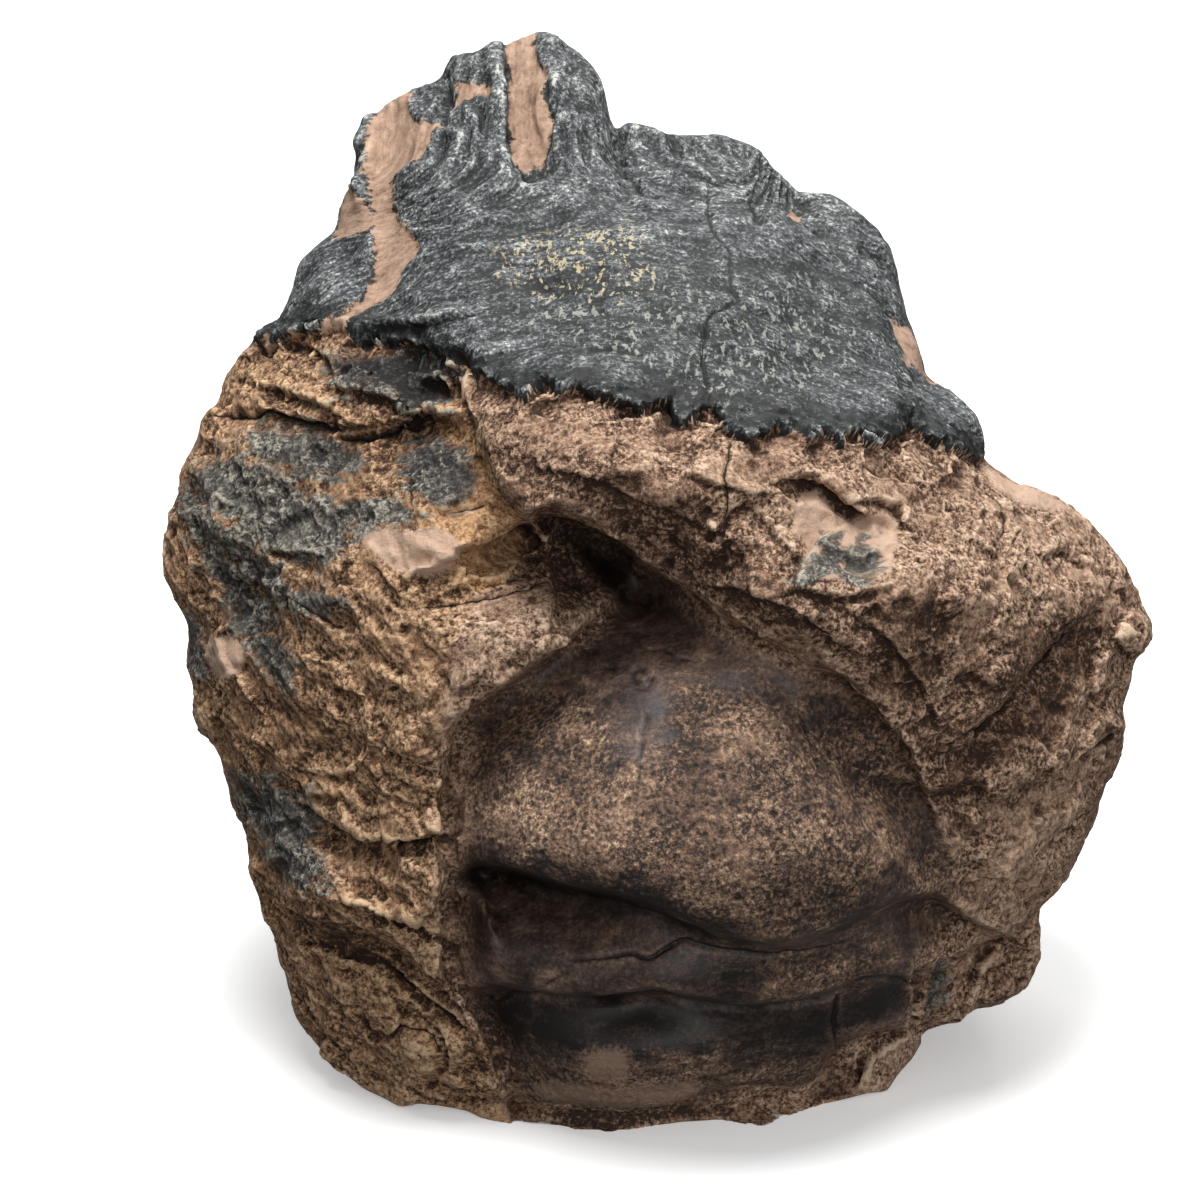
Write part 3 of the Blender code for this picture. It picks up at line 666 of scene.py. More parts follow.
WORN = {
    "dome": [
        (462, 846), (466, 790), (484, 742), (520, 706), (560, 694), (596, 706), (612, 742),
        (640, 770), (668, 742), (672, 700), (716, 684), (770, 700), (792, 740), (824, 776),
        (868, 820), (890, 866), (888, 884), (850, 912), (790, 934), (740, 930), (690, 912),
        (650, 896), (600, 884), (540, 868), (490, 860),
    ],
    "dome_edge": [(800, 735), (880, 785), (945, 850), (958, 900), (900, 885), (850, 810)],
    "third_fold": [
        (500, 1062), (620, 1060), (740, 1062), (838, 1050), (812, 1084), (700, 1096), (620, 1116),
        (510, 1112),
    ],
    "dome_side": [(812, 690), (870, 700), (915, 775), (905, 800), (850, 785), (805, 740)],
    "fold_spot": [(720, 965), (800, 960), (880, 950), (880, 968), (800, 990), (730, 990)],
}
TAN_PATCHES = {
    "left_tan": [
        (350, 530), (378, 527), (402, 531), (440, 528), (462, 545), (452, 567), (428, 577), (394, 571),
        (376, 556),
    ],
    "scoop": [
        (803, 490), (831, 494), (851, 518), (880, 512), (899, 520), (896, 552), (880, 574), (800, 578),
        (806, 545), (790, 530),
    ],
    "fold_lip": [(540, 1080), (620, 1084), (700, 1078), (690, 1098), (620, 1110), (545, 1104)],
    "fold_square": [(585, 1052), (606, 1047), (630, 1050), (632, 1080), (608, 1086), (586, 1080)],
    "flank_knob": [(204, 648), (222, 636), (240, 644), (246, 664), (230, 680), (210, 674)],
    "right_band": [(984, 462), (1010, 474), (1052, 494), (1070, 508), (1040, 508), (1006, 494)],
}
FLAKY = [
    (200, 400), (260, 335), (350, 325), (440, 350), (460, 400), (450, 440), (480, 500), (520, 540),
    (470, 600), (440, 700), (440, 790), (440, 980), (490, 1050), (500, 1140), (380, 1120),
    (240, 1000), (150, 700), (140, 450),
]
# Painted shade: the finishes darken the places inside these outlines, the hollow under the brow, the brow's
# underside, the valley, the undersides of the lips and the band under the lowest fold.
PAINTED_SHADE = {
    "hollow": [
        (534, 514), (580, 518), (622, 540), (652, 572), (640, 592), (600, 596), (566, 606), (545, 585),
        (530, 548),
    ],
    "brow_under": [
        (486, 440), (560, 458), (640, 466), (706, 490), (745, 540), (800, 580), (900, 596), (950, 600),
        (945, 680), (915, 690), (860, 660), (800, 630), (700, 590), (640, 555), (590, 520), (530, 520),
        (500, 490),
    ],
    "valley": [
        (930, 745), (950, 680), (1010, 640), (1075, 610), (1105, 645), (1060, 710), (1010, 765),
        (950, 795), (920, 780),
    ],
    "bottom": [
        (520, 1100), (600, 1106), (690, 1102), (760, 1088), (830, 1078), (850, 1110), (780, 1145),
        (640, 1150), (520, 1145),
    ],
    "flank_slot": [
        (300, 910), (345, 930), (390, 945), (450, 990), (450, 1005), (390, 975), (345, 962), (305, 945),
    ],
    "dome_foot": [
        (455, 880), (468, 838), (520, 850), (600, 875), (660, 895), (740, 925), (740, 945), (650, 915),
        (570, 900), (480, 880),
    ],
    "under_lip": [
        (480, 1000), (560, 1004), (650, 1000), (745, 1012), (835, 1000), (900, 985), (900, 1005),
        (835, 1036), (745, 1056), (640, 1054), (540, 1050), (490, 1040),
    ],
    "chip": [(331, 361), (362, 355), (423, 353), (434, 370), (439, 410), (398, 415), (354, 388)],
}
OCHRE_ROCK = [
    (430, 424), (452, 400), (470, 424), (488, 460), (500, 496), (524, 530), (520, 560), (500, 584),
    (462, 588), (440, 560), (410, 520), (404, 500), (452, 508), (476, 486), (460, 452),
]
FLECKS = {
    "yellow": [(496, 238), (560, 226), (624, 226), (652, 262), (640, 296), (560, 300), (504, 292)],
    "white": [
        (500, 300), (560, 280), (700, 268), (790, 280), (862, 300), (850, 360), (790, 404), (700, 410),
        (640, 380), (560, 350),
    ],
}


def deepest(outlines, grid_x, grid_y):
    """The greatest depth inside any of several outlines."""
    return np.max([depth_inside(outline, grid_x, grid_y) for outline in outlines.values()], axis=0)


OUTSIDE = -6.0


def regions(places, normals):
    """The distances and shares that tell the tooth's materials apart, for each place."""
    grid_x, grid_y, depth = grid_of(places)
    _, rim_depth = rim_at(np.arctan2(GRID_MIDDLE[1] - grid_y, grid_x - GRID_MIDDLE[0]))
    facing = -(normals @ VIEW_FORWARD)
    front = soft_step(depth - rim_depth + 4 * facing, -1.5, 1.5)
    seen = np.nonzero(front > 0.01)[0]
    x, y, share = grid_x[seen], grid_y[seen], front[seen]
    drawn = {
        "crown": depth_inside(CROWN, x, y), "cement": deepest(CEMENT_STRIPS, x, y),
        "stain": deepest(STAINS, x, y), "waxy": deepest(WAXY, x, y),
        "rough_dome": deepest(WORN, x, y), "tan": deepest(TAN_PATCHES, x, y),
        "ochre": depth_inside(OCHRE_ROCK, x, y), "flaky": depth_inside(FLAKY, x, y),
        "dirt": deepest(PAINTED_SHADE, x, y), "yellow": depth_inside(FLECKS["yellow"], x, y),
 "white": depth_inside(FLECKS["white"], x, y),
    }
    zone = {name: np.full(len(places), OUTSIDE) for name in drawn}
    zone["crown"] = np.minimum(depth_inside(BACK_CROWN, grid_x, grid_y), 6.0)
    zone["cement"] = (0.42 - plate_wave(grid_x, grid_y)) * PLATE_PITCH / math.pi * STEP_MM
    for name, value in drawn.items():
        zone[name][seen] = value * share + zone[name][seen] * (1 - share)
    zone["front"] = front
    zone["grid"] = (grid_x, grid_y, depth)
    return zone


co = vertex_array(tooth.data)
normals = vertex_array(tooth.data, "normal")
zone = regions(co, normals)
print("share of the surface that is crown:", round(float(np.mean(zone["crown"] > 0)), 2))

# %% [markdown]
# ## The large breaks
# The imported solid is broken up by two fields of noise, lumps and chips. The fine surface starts with
# the same two, so that it lies where the solid does, but holds them back at the rim, where the drawn
# outline already has them. Then come the breaks of old cement: treads and risers, flakes that lie
# over each other at the tooth's left side, and flat chipped faces.

# %% Lumps, treads, flakes and chipped faces
LUMP_HEIGHT = 1.3
LUMP_LENGTH = 0.013
CHIP_HEIGHT = 0.5
CHIP_LENGTH = 0.006
CHIP_MIDDLE = 1.2
LUMP_SHARE = 0.8
FOLDS_ROUGHNESS_SHARE = 0.12
RIM_SHARE = 0.4
TREADS = 5
TREAD_HEIGHT = 2.2
SLAB_SIZE = (10, 8, 7)
SLAB_SHARE = 0.85
FLAKE_HEIGHT = 0.7
FLAKE_PITCH = 4.2
FLAKE_LEAN = 0.45
FACE_SLOPE = 1.3
FACE_SIZE = (6.0, 6.0, 4.6)
FOOT_CALM = 3.0
stone = Bumps(11)
warp = Bumps(12)


def solid_lumps(places):
    """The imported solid's own unevenness, in millimetres."""
    rough = np.empty(len(places))
    for index, at in enumerate(places):
        lump = noise.fractal(Vector(at / LUMP_LENGTH), 1.0, 2.0, 3)
        chip = noise.ridged_multi_fractal(Vector(at / CHIP_LENGTH), 1.0, 2.0, 2, 1.0, 2.0)
        rough[index] = LUMP_HEIGHT * lump + CHIP_HEIGHT * (chip - CHIP_MIDDLE)
    return rough


def bends(mm, size, strength):
    """Shifts each place a little, so that straight patterns waver."""
    return strength * np.column_stack([warp.layered(mm / size + shift, 2) for shift in (0.0, 31.7, 63.1)])


def shares(zone, normals):
    """How much each place is polished fold, crown or flaky rock, and how far it faces the viewer."""
    facing = np.abs(normals @ VIEW_FORWARD)
    return (soft_step(zone["waxy"], -1.0, 1.5), soft_step(zone["crown"], -0.3, 0.3),
            soft_step(zone["flaky"], -1.5, 2.0), RIM_SHARE + (1 - RIM_SHARE) * soft_step(facing, 0.1, 0.5))


mm = co / MILLIMETRE
waxy_share, crown_share, flaky, rim_share = shares(zone, normals)
brown_share = (1 - crown_share) * (1 - waxy_share)
relief = LUMP_SHARE * solid_lumps(co)
slab = stone.layered((mm + bends(mm, 14, 5)) / SLAB_SIZE, 3, 0.55)
relief += TREAD_HEIGHT * (terraces(slab, TREADS) - slab * SLAB_SHARE) * brown_share * (1 - 0.6 * flaky)
leaf = (mm[:, 2] + FLAKE_LEAN * mm[:, 0]) / FLAKE_PITCH
leaf += 1.3 * stone.layered((mm + bends(mm, 11, 4)) / 11 + 40, 3)
relief += FLAKE_HEIGHT * (shingles(leaf) - 0.5) * flaky * (1 - crown_share)
_, tilt = stone.cells((mm + bends(mm, 3, 0.8)) / FACE_SIZE)
relief += FACE_SLOPE * tilt * brown_share
relief *= (1 - (1 - FOLDS_ROUGHNESS_SHARE) * waxy_share) * rim_share * soft_step(mm[:, 2], 0.0, FOOT_CALM)
set_vertices(tooth.data, co + normals * (relief * MILLIMETRE)[:, None])
print("large breaks from", round(relief.min(), 2), "to", round(relief.max(), 2), "mm")

# %% [markdown]
# ## A finer mesh for the small shapes
# The large breaks have stretched the faces again, and the next shapes are smaller than those faces.
# So the surface is evened out once more, to faces of a third of a millimetre. Subdividing would be
# quicker, but it would only cut the stretched faces into smaller stretched ones.

# %% The fine mesh
even_out(tooth, FINE_VOXEL)
co = vertex_array(tooth.data)
normals = vertex_array(tooth.data, "normal")
zone = regions(co, normals)
grid_x, grid_y, depth = zone["grid"]
mm = co / MILLIMETRE
bend = bends(mm, 12, 3)
waxy_share, crown_share, flaky, rim_share = shares(zone, normals)
rough_share = soft_step(zone["rough_dome"], -0.8, 0.8)
print("fine mesh:", len(co), "vertices")

# %% [markdown]
# ## The black crown
# The crown is a crust of fused enamel plates. It stands proud of the brown cement with a ragged edge
# of small black beads, and its surface is fibrous, like matted felt. The crust is a step along the
# crown's outline that noise has frayed. The fibres are noise stretched along arched lines, which is
# cheaper than thousands of hairs and gives the same light and dark streaks.

# %% The crust and its fibres
CRUST_HEIGHT = 1.9
CRUST_FADE = 4.5
CRUST_FRAY = 0.7
FIBRE_HEIGHT = 0.14
TUFT_HEIGHT = 0.30
PLATE_RIDGE = 0.9
FRAY_SIZE = 2.2
STRAND_SIZE = (3.6, 0.75, 1.6)
TUFT_SIZE = (7.0, 2.6, 4.0)
RIDGE_SIZE = (16.0, 2.3, 6.0)
BEAD_SIZE = 1.25
CEMENT_DEPTH = 0.35
RIDGES_ABOVE = (150, 240)
BEAD_HEIGHT = 0.55
ARCH_MIDDLE = 600.0
ARCH_BEND = 0.0009
UPRIGHT_BELOW = (150.0, 250.0)
fibre = Bumps(21)


def grain_lines(grid_x, grid_y, depth):
    """Coordinates in millimetres that follow the fibres: along them, across them and through them."""
    arch = np.clip(grid_x - ARCH_MIDDLE, -330, 330)
    across = (grid_y - UPRIGHT_BELOW[1] - ARCH_BEND * arch**2) * STEP_MM
    along = (grid_x - ARCH_MIDDLE) * STEP_MM
    upright = (1 - soft_step(grid_y, *UPRIGHT_BELOW)) * (1 - soft_step(grid_x, 740, 800))
    return np.column_stack([
        along * (1 - upright) + across * upright, across * (1 - upright) + along * upright, depth])


lines = grain_lines(grid_x, grid_y, depth)
fray = fibre.layered(mm / FRAY_SIZE + 5, 2, 0.55)
crust = soft_step(zone["crown"] + CRUST_FRAY * fray, -0.25, 0.25)
cement_share = soft_step(zone["cement"] + 0.3 * fray, -0.3, 0.3) * crust
brown_share = (1 - crust) * (1 - waxy_share)
swirled = lines + 0.8 * bend
upright_plates = fibre.layered(swirled / RIDGE_SIZE + 80, 2)
strands = fibre.layered(swirled / STRAND_SIZE, 2, 0.6)
tufts = fibre.layered(swirled / TUFT_SIZE + 50, 2)
bead_gap, _ = fibre.cells(mm / BEAD_SIZE + 20)
edge_share = soft_step(zone["crown"], 0, 0.4) * (1 - soft_step(zone["crown"], 1.4, 3.0)) * zone["front"]
relief = CRUST_HEIGHT * (crust - 0.5) * np.exp(-((zone["crown"] / CRUST_FADE) ** 2)) * zone["front"]
relief += (FIBRE_HEIGHT * strands + TUFT_HEIGHT * tufts) * crust * (1 - 0.85 * cement_share)
relief += PLATE_RIDGE * upright_plates * crust * (1 - soft_step(grid_y, *RIDGES_ABOVE)) * zone["front"]
relief += BEAD_HEIGHT * (0.5 - bead_gap) * edge_share
relief -= CEMENT_DEPTH * cement_share
print("crown share of the fine mesh:", round(float(crust.mean()), 2))

# %% [markdown]
# ## The brown rock's grain
# Between the large breaks the cement is chipped at a scale of one or two millimetres, and grainy
# below that. The chips are the tilted cells again, smaller. At the left they are thinner, because
# the rock splits into leaves there. Noise leaves some of the broken faces calm, because not all of
# them have crumbled.

# %% Chips and grain
CHIP_SLOPE = 0.30
LEAF_HEIGHT = 0.22
GRAIN_HEIGHT = 0.13
CALM_SHARE = 0.75
CHIP_SIZE = (1.9, 1.9, 1.5)
SMALL_CHIP_SIZE = (0.95, 0.95, 0.8)
GRAIN_SIZE = 1.15
THIN_FLAKE_PITCH = 1.5
THIN_FLAKE_DROP = 0.3
CALM_SIZE = 6
_, chips = stone.cells((mm + 0.5 * bend) / CHIP_SIZE + 7)
_, small_chips = stone.cells((mm + 0.4 * bend) / SMALL_CHIP_SIZE + 90)
grain = stone.layered(mm / GRAIN_SIZE + 80, 2, 0.65)
leaf = (mm[:, 2] + 0.5 * mm[:, 0] - 0.3 * mm[:, 1]) / THIN_FLAKE_PITCH
leaf += 1.1 * stone.layered((mm + bend) / 5 + 140, 2)
calm = soft_step(stone.layered((mm + bend) / CALM_SIZE + 300, 2), -0.25, 0.45)
rock = CHIP_SLOPE * (chips + 0.5 * small_chips) + GRAIN_HEIGHT * grain
rock *= (1 - CALM_SHARE * calm) * (1 - 0.5 * soft_step(zone["stain"], -0.8, 0.8))
rock += LEAF_HEIGHT * (shingles(leaf, THIN_FLAKE_DROP) - 0.5) * flaky
relief += rock * brown_share * (1 - 0.7 * soft_step(zone["tan"], -0.5, 0.8))
relief += 0.05 * grain * waxy_share * rough_share
print("rock grain from", round(rock.min(), 2), "to", round(rock.max(), 2), "mm")

# %% [markdown]
# ## Cracks, small ledges and pits
# What is left is drawn like the big ledges: the thin drying cracks of the folds, the broken
# steps of the brow and the left side, and the small round nub on the dome. A little noise shakes each
# line so that it doesn't look drawn.

# %% The small ledges
SMALL_LEDGES = {
    "scoop_top": (
        [(778, 481, 0.4), (803, 478, 1.6), (831, 488, 2.0), (854, 509, 1.8), (880, 521, 0.4)], 14, 0.3),
    "scoop_side": ([(835, 527, 0.5), (815, 541, 1.2), (801, 566, 1.0), (797, 584, 0.3)], 12, 0.5),
    "scoop_right": (
        [(852, 503, 0.3), (870, 499, 1.0), (899, 504, 1.3), (903, 522, 1.0), (918, 528, 0.4)], 12, 0.3),
    "facet_left": ([(716, 545, 0.4), (727, 512, 1.0), (740, 505, 0.8)], 16, 0.6),
    "facet_right": ([(752, 505, 0.6), (769, 527, 1.2), (786, 545, 0.6)], 16, 0.6),
    "brow_crease": ([(650, 455, 0.2), (700, 478, 0.8), (742, 492, 0.9), (775, 490, 0.3)], 16, 0.4),
    "brow_shelf": (
        [(540, 468, 0.4), (590, 478, 1.0), (640, 500, 1.0), (690, 520, 0.9), (720, 532, 0.4)], 26, 0.4),
    "brow_low": (
        [(686, 577, 0.5), (709, 584, 1.0), (736, 588, 1.2), (769, 601, 0.8), (790, 612, 0.3)], 14, 0.5),
    "under_scoop": (
        [(769, 596, 0.4), (801, 590, 1.2), (840, 596, 1.5), (880, 588, 1.0), (900, 578, 0.3)], 16, 0.5),
    "slope_one": ([(787, 607, 0.5), (815, 623, 1.2), (840, 640, 1.0), (858, 652, 0.4)], 12, 0.5),
    "slope_two": ([(850, 610, 0.3), (890, 640, 1.1), (925, 690, 1.0), (938, 725, 0.3)], 18, 0.5),
    "rock_top": ([(234, 379, 0.5), (262, 384, 1.4), (300, 398, 1.6), (330, 412, 0.6)], 16, 0.4),
    "rock_crest": ([(257, 345, 0.5), (290, 340, 1.2), (323, 357, 1.4), (335, 380, 0.5)], 14, 0.4),
    "chip_foot": (
        [(334, 388, 0.6), (356, 392, 1.3), (390, 400, 1.8), (400, 416, 2.2), (440, 415, 2.2)], 12, 0.7),
    "plank": ([(344, 436, 0.8), (377, 433, 1.4), (413, 423, 0.8)], 9, 0.4),
    "lens_low": ([(255, 548, 0.2), (286, 553, 0.9), (315, 555, 0.6)], 10, 0.4),
    "tan_edge": ([(430, 600, 0.3), (462, 585, 0.9), (500, 578, 0.8), (525, 560, 0.3)], 14, 0.4),
    "flank_fold": (
        [(306, 806, 0.8), (341, 827, 2.2), (373, 841, 2.8), (405, 842, 2.4), (436, 836, 1.0)], 18, 0.4),
    "flank_chip": ([(308, 772, 0.3), (340, 777, 1.1), (357, 765, 0.6)], 12, 0.5),
    "low_shelf": ([(340, 903, 0.8), (382, 914, 2.0), (412, 922, 2.2), (444, 938, 1.2)], 13, 0.5),
    "slot_floor": ([(391, 967, 0.4), (345, 958, 1.6), (309, 947, 1.2)], 10, 0.2),
    "root_rib": ([(391, 966, 0.8), (410, 979, 1.6), (433, 1000, 2.0), (460, 1022, 1.4)], 10, 0.5),
    "shell_one": ([(420, 1010, 0.4), (441, 1032, 1.3), (452, 1058, 1.0), (440, 1082, 0.3)], 12, 0.4),
    "shell_two": (
        [(364, 1012, 0.3), (373, 1029, 1.1), (390, 1034, 1.2), (401, 1020, 0.8), (390, 996, 0.3)],
        10, 0.4),
    "edge_rib": (
        [(294, 966, 0.4), (309, 992, 1.2), (320, 1024, 1.3), (343, 1050, 1.2), (366, 1082, 0.5)],
        11, 0.5),
    "block_left": ([(910, 1028, 1.0), (912, 1000, 1.8), (913, 968, 1.4)], 12, 0.4),
    "block_rib": ([(997, 945, 0.6), (984, 961, 1.3), (975, 978, 1.4), (968, 1008, 0.8)], 10, 0.5),
    "foot_block": ([(905, 1032, 0.8), (878, 1050, 1.6), (862, 1078, 1.4), (858, 1094, 0.6)], 16, 0.4),
    "knob_ring": ([(1127, 612, 0.5), (1116, 632, 1.3), (1128, 652, 0.7)], 9, 0.2),
    "lobe_dent": ([(1040, 560, 0.3), (1062, 548, 1.2), (1084, 560, 1.2), (1090, 580, 0.4)], 14, 0.3),
    "plate_edge": (
        [(922, 376, 0.3), (884, 318, 1.0), (860, 284, 1.2), (820, 243, 1.4), (790, 220, 1.2),
         (753, 202, 1.0), (712, 186, 0.6)], 14, 0.4,
    ),
    "crown_overhang": ([(352, 336, 1.2), (400, 329, 1.6), (440, 322, 1.4), (470, 316, 0.3)], 12, 0.5),
}
SMALL_GROOVES = {
    "nub_moat": (
        [(631, 678, -0.25), (640, 669, -0.25), (649, 678, -0.25), (640, 687, -0.25), (631, 678, -0.25)],
        4),
    "nub": ([(639, 678, 0.25), (641, 678, 0.25)], 5),
    "wedge": ([(441, 352, -1.5), (462, 366, -3.2), (446, 384, -2.0)], 10),
    "plate_gap": ([(444, 76, -1.5), (442, 112, -1.8), (436, 140, -0.8)], 6),
    "slim_plate": ([(492, 50, 1.0), (500, 90, 1.0), (505, 130, 0.5)], 8),
    "strip_left": ([(504, 60, -0.8), (508, 100, -0.9), (512, 150, -0.9), (526, 176, -0.7)], 4),
    "strip_right": ([(545, 75, -0.6), (549, 120, -0.8), (542, 160, -0.7), (526, 176, -0.7)], 4),
    "thin_plate": ([(368, 118, 1.2), (362, 150, 1.4), (358, 200, 1.2)], 8),
    "far_dent": ([(753, 205, -0.8), (757, 222, -0.6)], 6),
    "knob": ([(1134, 622, 1.0), (1136, 640, 1.0)], 13),
    "cell_one": ([(1128, 622, -0.5), (1140, 630, -0.5)], 4),
    "cell_two": ([(1130, 640, -0.5), (1144, 640, -0.5)], 4),
    "flank_cup": ([(316, 838, -0.8), (348, 850, -0.8)], 9),
    "low_cup": ([(366, 894, -1.0), (398, 904, -1.0)], 10),
    "facet_cup": ([(330, 740, -0.7), (352, 752, -0.7)], 15),
    "root_disc": ([(416, 1048, 0.9), (424, 1056, 0.9)], 20),
    "fold_dimple": ([(790, 966, -0.4), (820, 962, -0.5), (850, 950, -0.3)], 9),
    "hollow_knob": ([(640, 566, 0.7), (652, 572, 0.7)], 8),
}
SHAKE = 2.6
SMALL_SOFTNESS = 1.8
in_front = np.nonzero(zone["front"] > 0.02)[0]
near_mm = mm[in_front]
shake_x = SHAKE * stone.layered(near_mm / 2.6 + 120, 2)
shake_y = SHAKE * stone.layered(near_mm / 2.6 + 150, 2)
front_x, front_y = grid_x[in_front], grid_y[in_front]
small = carve(SMALL_LEDGES, SMALL_GROOVES, front_x + shake_x, front_y + shake_y, SMALL_SOFTNESS)
relief[in_front] += small * zone["front"][in_front]
print("small ledges:", len(SMALL_LEDGES), "and grooves:", len(SMALL_GROOVES))

# %% The cracks: grid x, grid y, depth in mm
CRACKS = {
    "fold_crack": [(574, 959, .2), (606, 957, .5), (631, 953, .6), (650, 957, .6), (682, 941, .7),
                   (705, 946, .5), (737, 951, .5), (778, 954, .4), (835, 945, .3), (864, 935, .1)],
    "lip_crack": [(497, 1004, .3), (520, 994, .6), (568, 999, .7), (599, 999, .6), (657, 992, .6),
                  (686, 1002, .9), (727, 1007, 1.0), (772, 1007, 1.0), (810, 1002, 1.1),
                  (835, 994, 1.1), (864, 981, 1.1), (899, 978, .9), (915, 983, .5)],
    "fold_branch": [(548, 984, .3), (568, 972, .2)],
    "fold_split": [(839, 996, .5), (835, 1021, .7), (837, 1046, .3)],
    "dome_top": [(634, 637, .1), (647, 649, .2), (666, 650, .2), (682, 658, .15), (717, 660, .1)],
    "nub_line": [(572, 671, .1), (609, 668, .15), (628, 665, .1)],
    "dome_line": [(647, 716, .1), (642, 738, .2), (640, 763, .2), (637, 799, .15), (634, 843, .1)],
    "dome_right": [(803, 716, .1), (812, 745, .2), (824, 776, .2)],
    "brow_split": [(734, 440, .3), (727, 465, .5), (725, 479, .4), (728, 495, .4), (724, 513, .4),
                   (717, 530, .2)],
    "shoulder_line": [(415, 609, .2), (458, 603, .5), (520, 589, .6), (546, 580, .3)],
    "ochre_nick": [(458, 511, .4), (481, 506, .4)],
    "flank_line": [(290, 600, .3), (313, 614, .5), (341, 628, .4)],
    "lobe_line": [(979, 466, .2), (984, 484, .3), (1000, 503, .3), (1003, 530, .3), (992, 545, .1)],
    "lobe_branch": [(1000, 503, .2), (1024, 512, .25), (1044, 508, .1)],
    "lobe_edge": [(1082, 757, .6), (1100, 744, .6), (1118, 730, .4)],
    "valley_line": [(949, 745, .6), (970, 734, .9), (993, 718, .9), (1016, 694, .9), (1039, 663, .9),
                    (1071, 630, .5)],
    "flank_crack": [(306, 807, .3), (341, 829, .8), (373, 843, 1.0), (405, 844, .8), (436, 838, .4)],
    "chip_crack": [(387, 404, .4), (400, 418, .8), (441, 416, .8)],
    "plank_line": [(344, 438, .4), (377, 435, .5), (413, 424, .4)],
    "gap_line": [(214, 415, .4), (240, 418, .6), (267, 415, .8), (300, 424, 1.0), (339, 431, .6)],
    "low_line": [(391, 967, .6), (410, 981, .8), (433, 1002, .8), (462, 1024, .4)],
    "crown_split": [(707, 189, .3), (709, 222, .4), (729, 253, .3), (730, 279, .4), (738, 299, .5),
                    (723, 307, .4), (709, 317, .5), (706, 335, .6), (702, 355, .6), (706, 381, .6),
                    (706, 402, .5)],
    "far_split": [(753, 202, .4), (756, 214, .3)],
    "edge_split": [(668, 404, .5), (672, 418, .4)],
    "crown_line": [(590, 352, .3), (615, 350, .3), (640, 356, .2)],
    "shell_line": [(396, 1032, .3), (410, 1028, .4), (430, 1034, .4), (440, 1050, .3)],
}
CRACK_HALF_WIDTH = 2.4
CRACK_REACH = 16.0
NO_CRACK = 9.0


def crack_field(grid_x, grid_y):
    """The distance to the nearest crack, positive on one side of it, in mm, and the crack's depth."""
    signed = np.full(len(grid_x), NO_CRACK)
    deep = np.zeros(len(grid_x))
    for points in CRACKS.values():
        path = smooth_path(points)
        near = near_box(path, grid_x, grid_y, CRACK_REACH)
        gap, side, value = nearest_on_path(path, grid_x[near], grid_y[near])
        closer = gap * STEP_MM < np.abs(signed[near])
        signed[near] = np.where(closer, np.where(side < 0, -gap, gap) * STEP_MM, signed[near])
        deep[near] = np.where(closer, value, deep[near])
    return signed, deep


crack = np.full(len(co), NO_CRACK)
crack_depth = np.zeros(len(co))
crack[in_front], crack_depth[in_front] = crack_field(front_x + 0.6 * shake_x, front_y + 0.6 * shake_y)
relief -= crack_depth * np.exp(-((crack / (CRACK_HALF_WIDTH * STEP_MM)) ** 2)) * zone["front"]
print("cracks:", len(CRACKS))

# %% Pits in the spongy cement
PIT_COUNT = 3600
PIT_RADII = (0.28, 0.75)
PIT_DEPTH_SHARE = 0.42
DEEP_PITS = [
    (950, 575, 1.3), (966, 591, 1.0), (909, 603, 1.2), (996, 571, 1.1), (943, 623, 0.8),
    (919, 538, 1.0), (594, 740, 0.9), (586, 714, 0.6), (790, 786, 0.8), (857, 795, 0.8),
    (835, 805, 0.6), (1026, 607, 0.8), (975, 655, 0.7), (1063, 693, 0.7), (1048, 855, 0.7),
    (533, 806, 0.7), (506, 792, 0.6),
]


def pit_depths(places, chance):
    """Round pits: a few big ones listed one by one, the rest scattered where the chance is high."""
    random = np.random.default_rng(5)
    tree = KDTree(len(places))
    for index, at in enumerate(places):
        tree.insert(at, index)
    tree.balance()
    depth_mm = np.zeros(len(places))
    picked = random.choice(len(places), PIT_COUNT, p=chance / chance.sum())
    sizes = PIT_RADII[0] + (PIT_RADII[1] - PIT_RADII[0]) * random.random(PIT_COUNT) ** 3
    spots = [(Vector(places[i]), r) for i, r in zip(picked, sizes)]
    for x, y, radius in DEEP_PITS:
        away = np.hypot(front_x - x, front_y - y) + np.where(zone["front"][in_front] < 0.5, 1e6, 0)
        spots.append((Vector(places[away.argmin()]), radius))
    for spot, radius in spots:
        for _, index, gap in tree.find_range(spot, radius * MILLIMETRE):
            share = 1 - (gap / MILLIMETRE / radius) ** 2
            depth_mm[index] = max(depth_mm[index], radius * PIT_DEPTH_SHARE * share)
    return depth_mm


spongy = soft_step(stone.layered(near_mm / 9 + 200, 2), -0.4, 0.6)
chance = brown_share[in_front] * spongy + 0.8 * rough_share[in_front] + 0.02
relief[in_front] -= pit_depths(co[in_front], chance)
print("pits:", PIT_COUNT + len(DEEP_PITS))

# %% [markdown]
# ## Moving the surface
# All the small shapes so far are one height for each point, and each point now moves along its normal
# by that height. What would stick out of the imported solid's box is drawn in, which also gives the foot
# its flat face. The relief fades out near the floor, so that no thin flake is left lying on it.

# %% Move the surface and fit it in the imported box
low, high = (np.array(corner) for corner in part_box("mammoth_tooth"))
moved = co + normals * (relief * rim_share * soft_step(mm[:, 2], 0.0, FOOT_CALM) * MILLIMETRE)[:, None]
outside = ((moved < low - 1e-6) | (moved > high + 1e-6)).any(axis=1)
moved = np.clip(moved, low, high)
set_vertices(tooth.data, moved)
print("fine relief from", round(relief.min(), 2), "to", round(relief.max(), 2), "mm")
print("drawn in to the packed box, with the flat foot:", int(outside.sum()), "points")
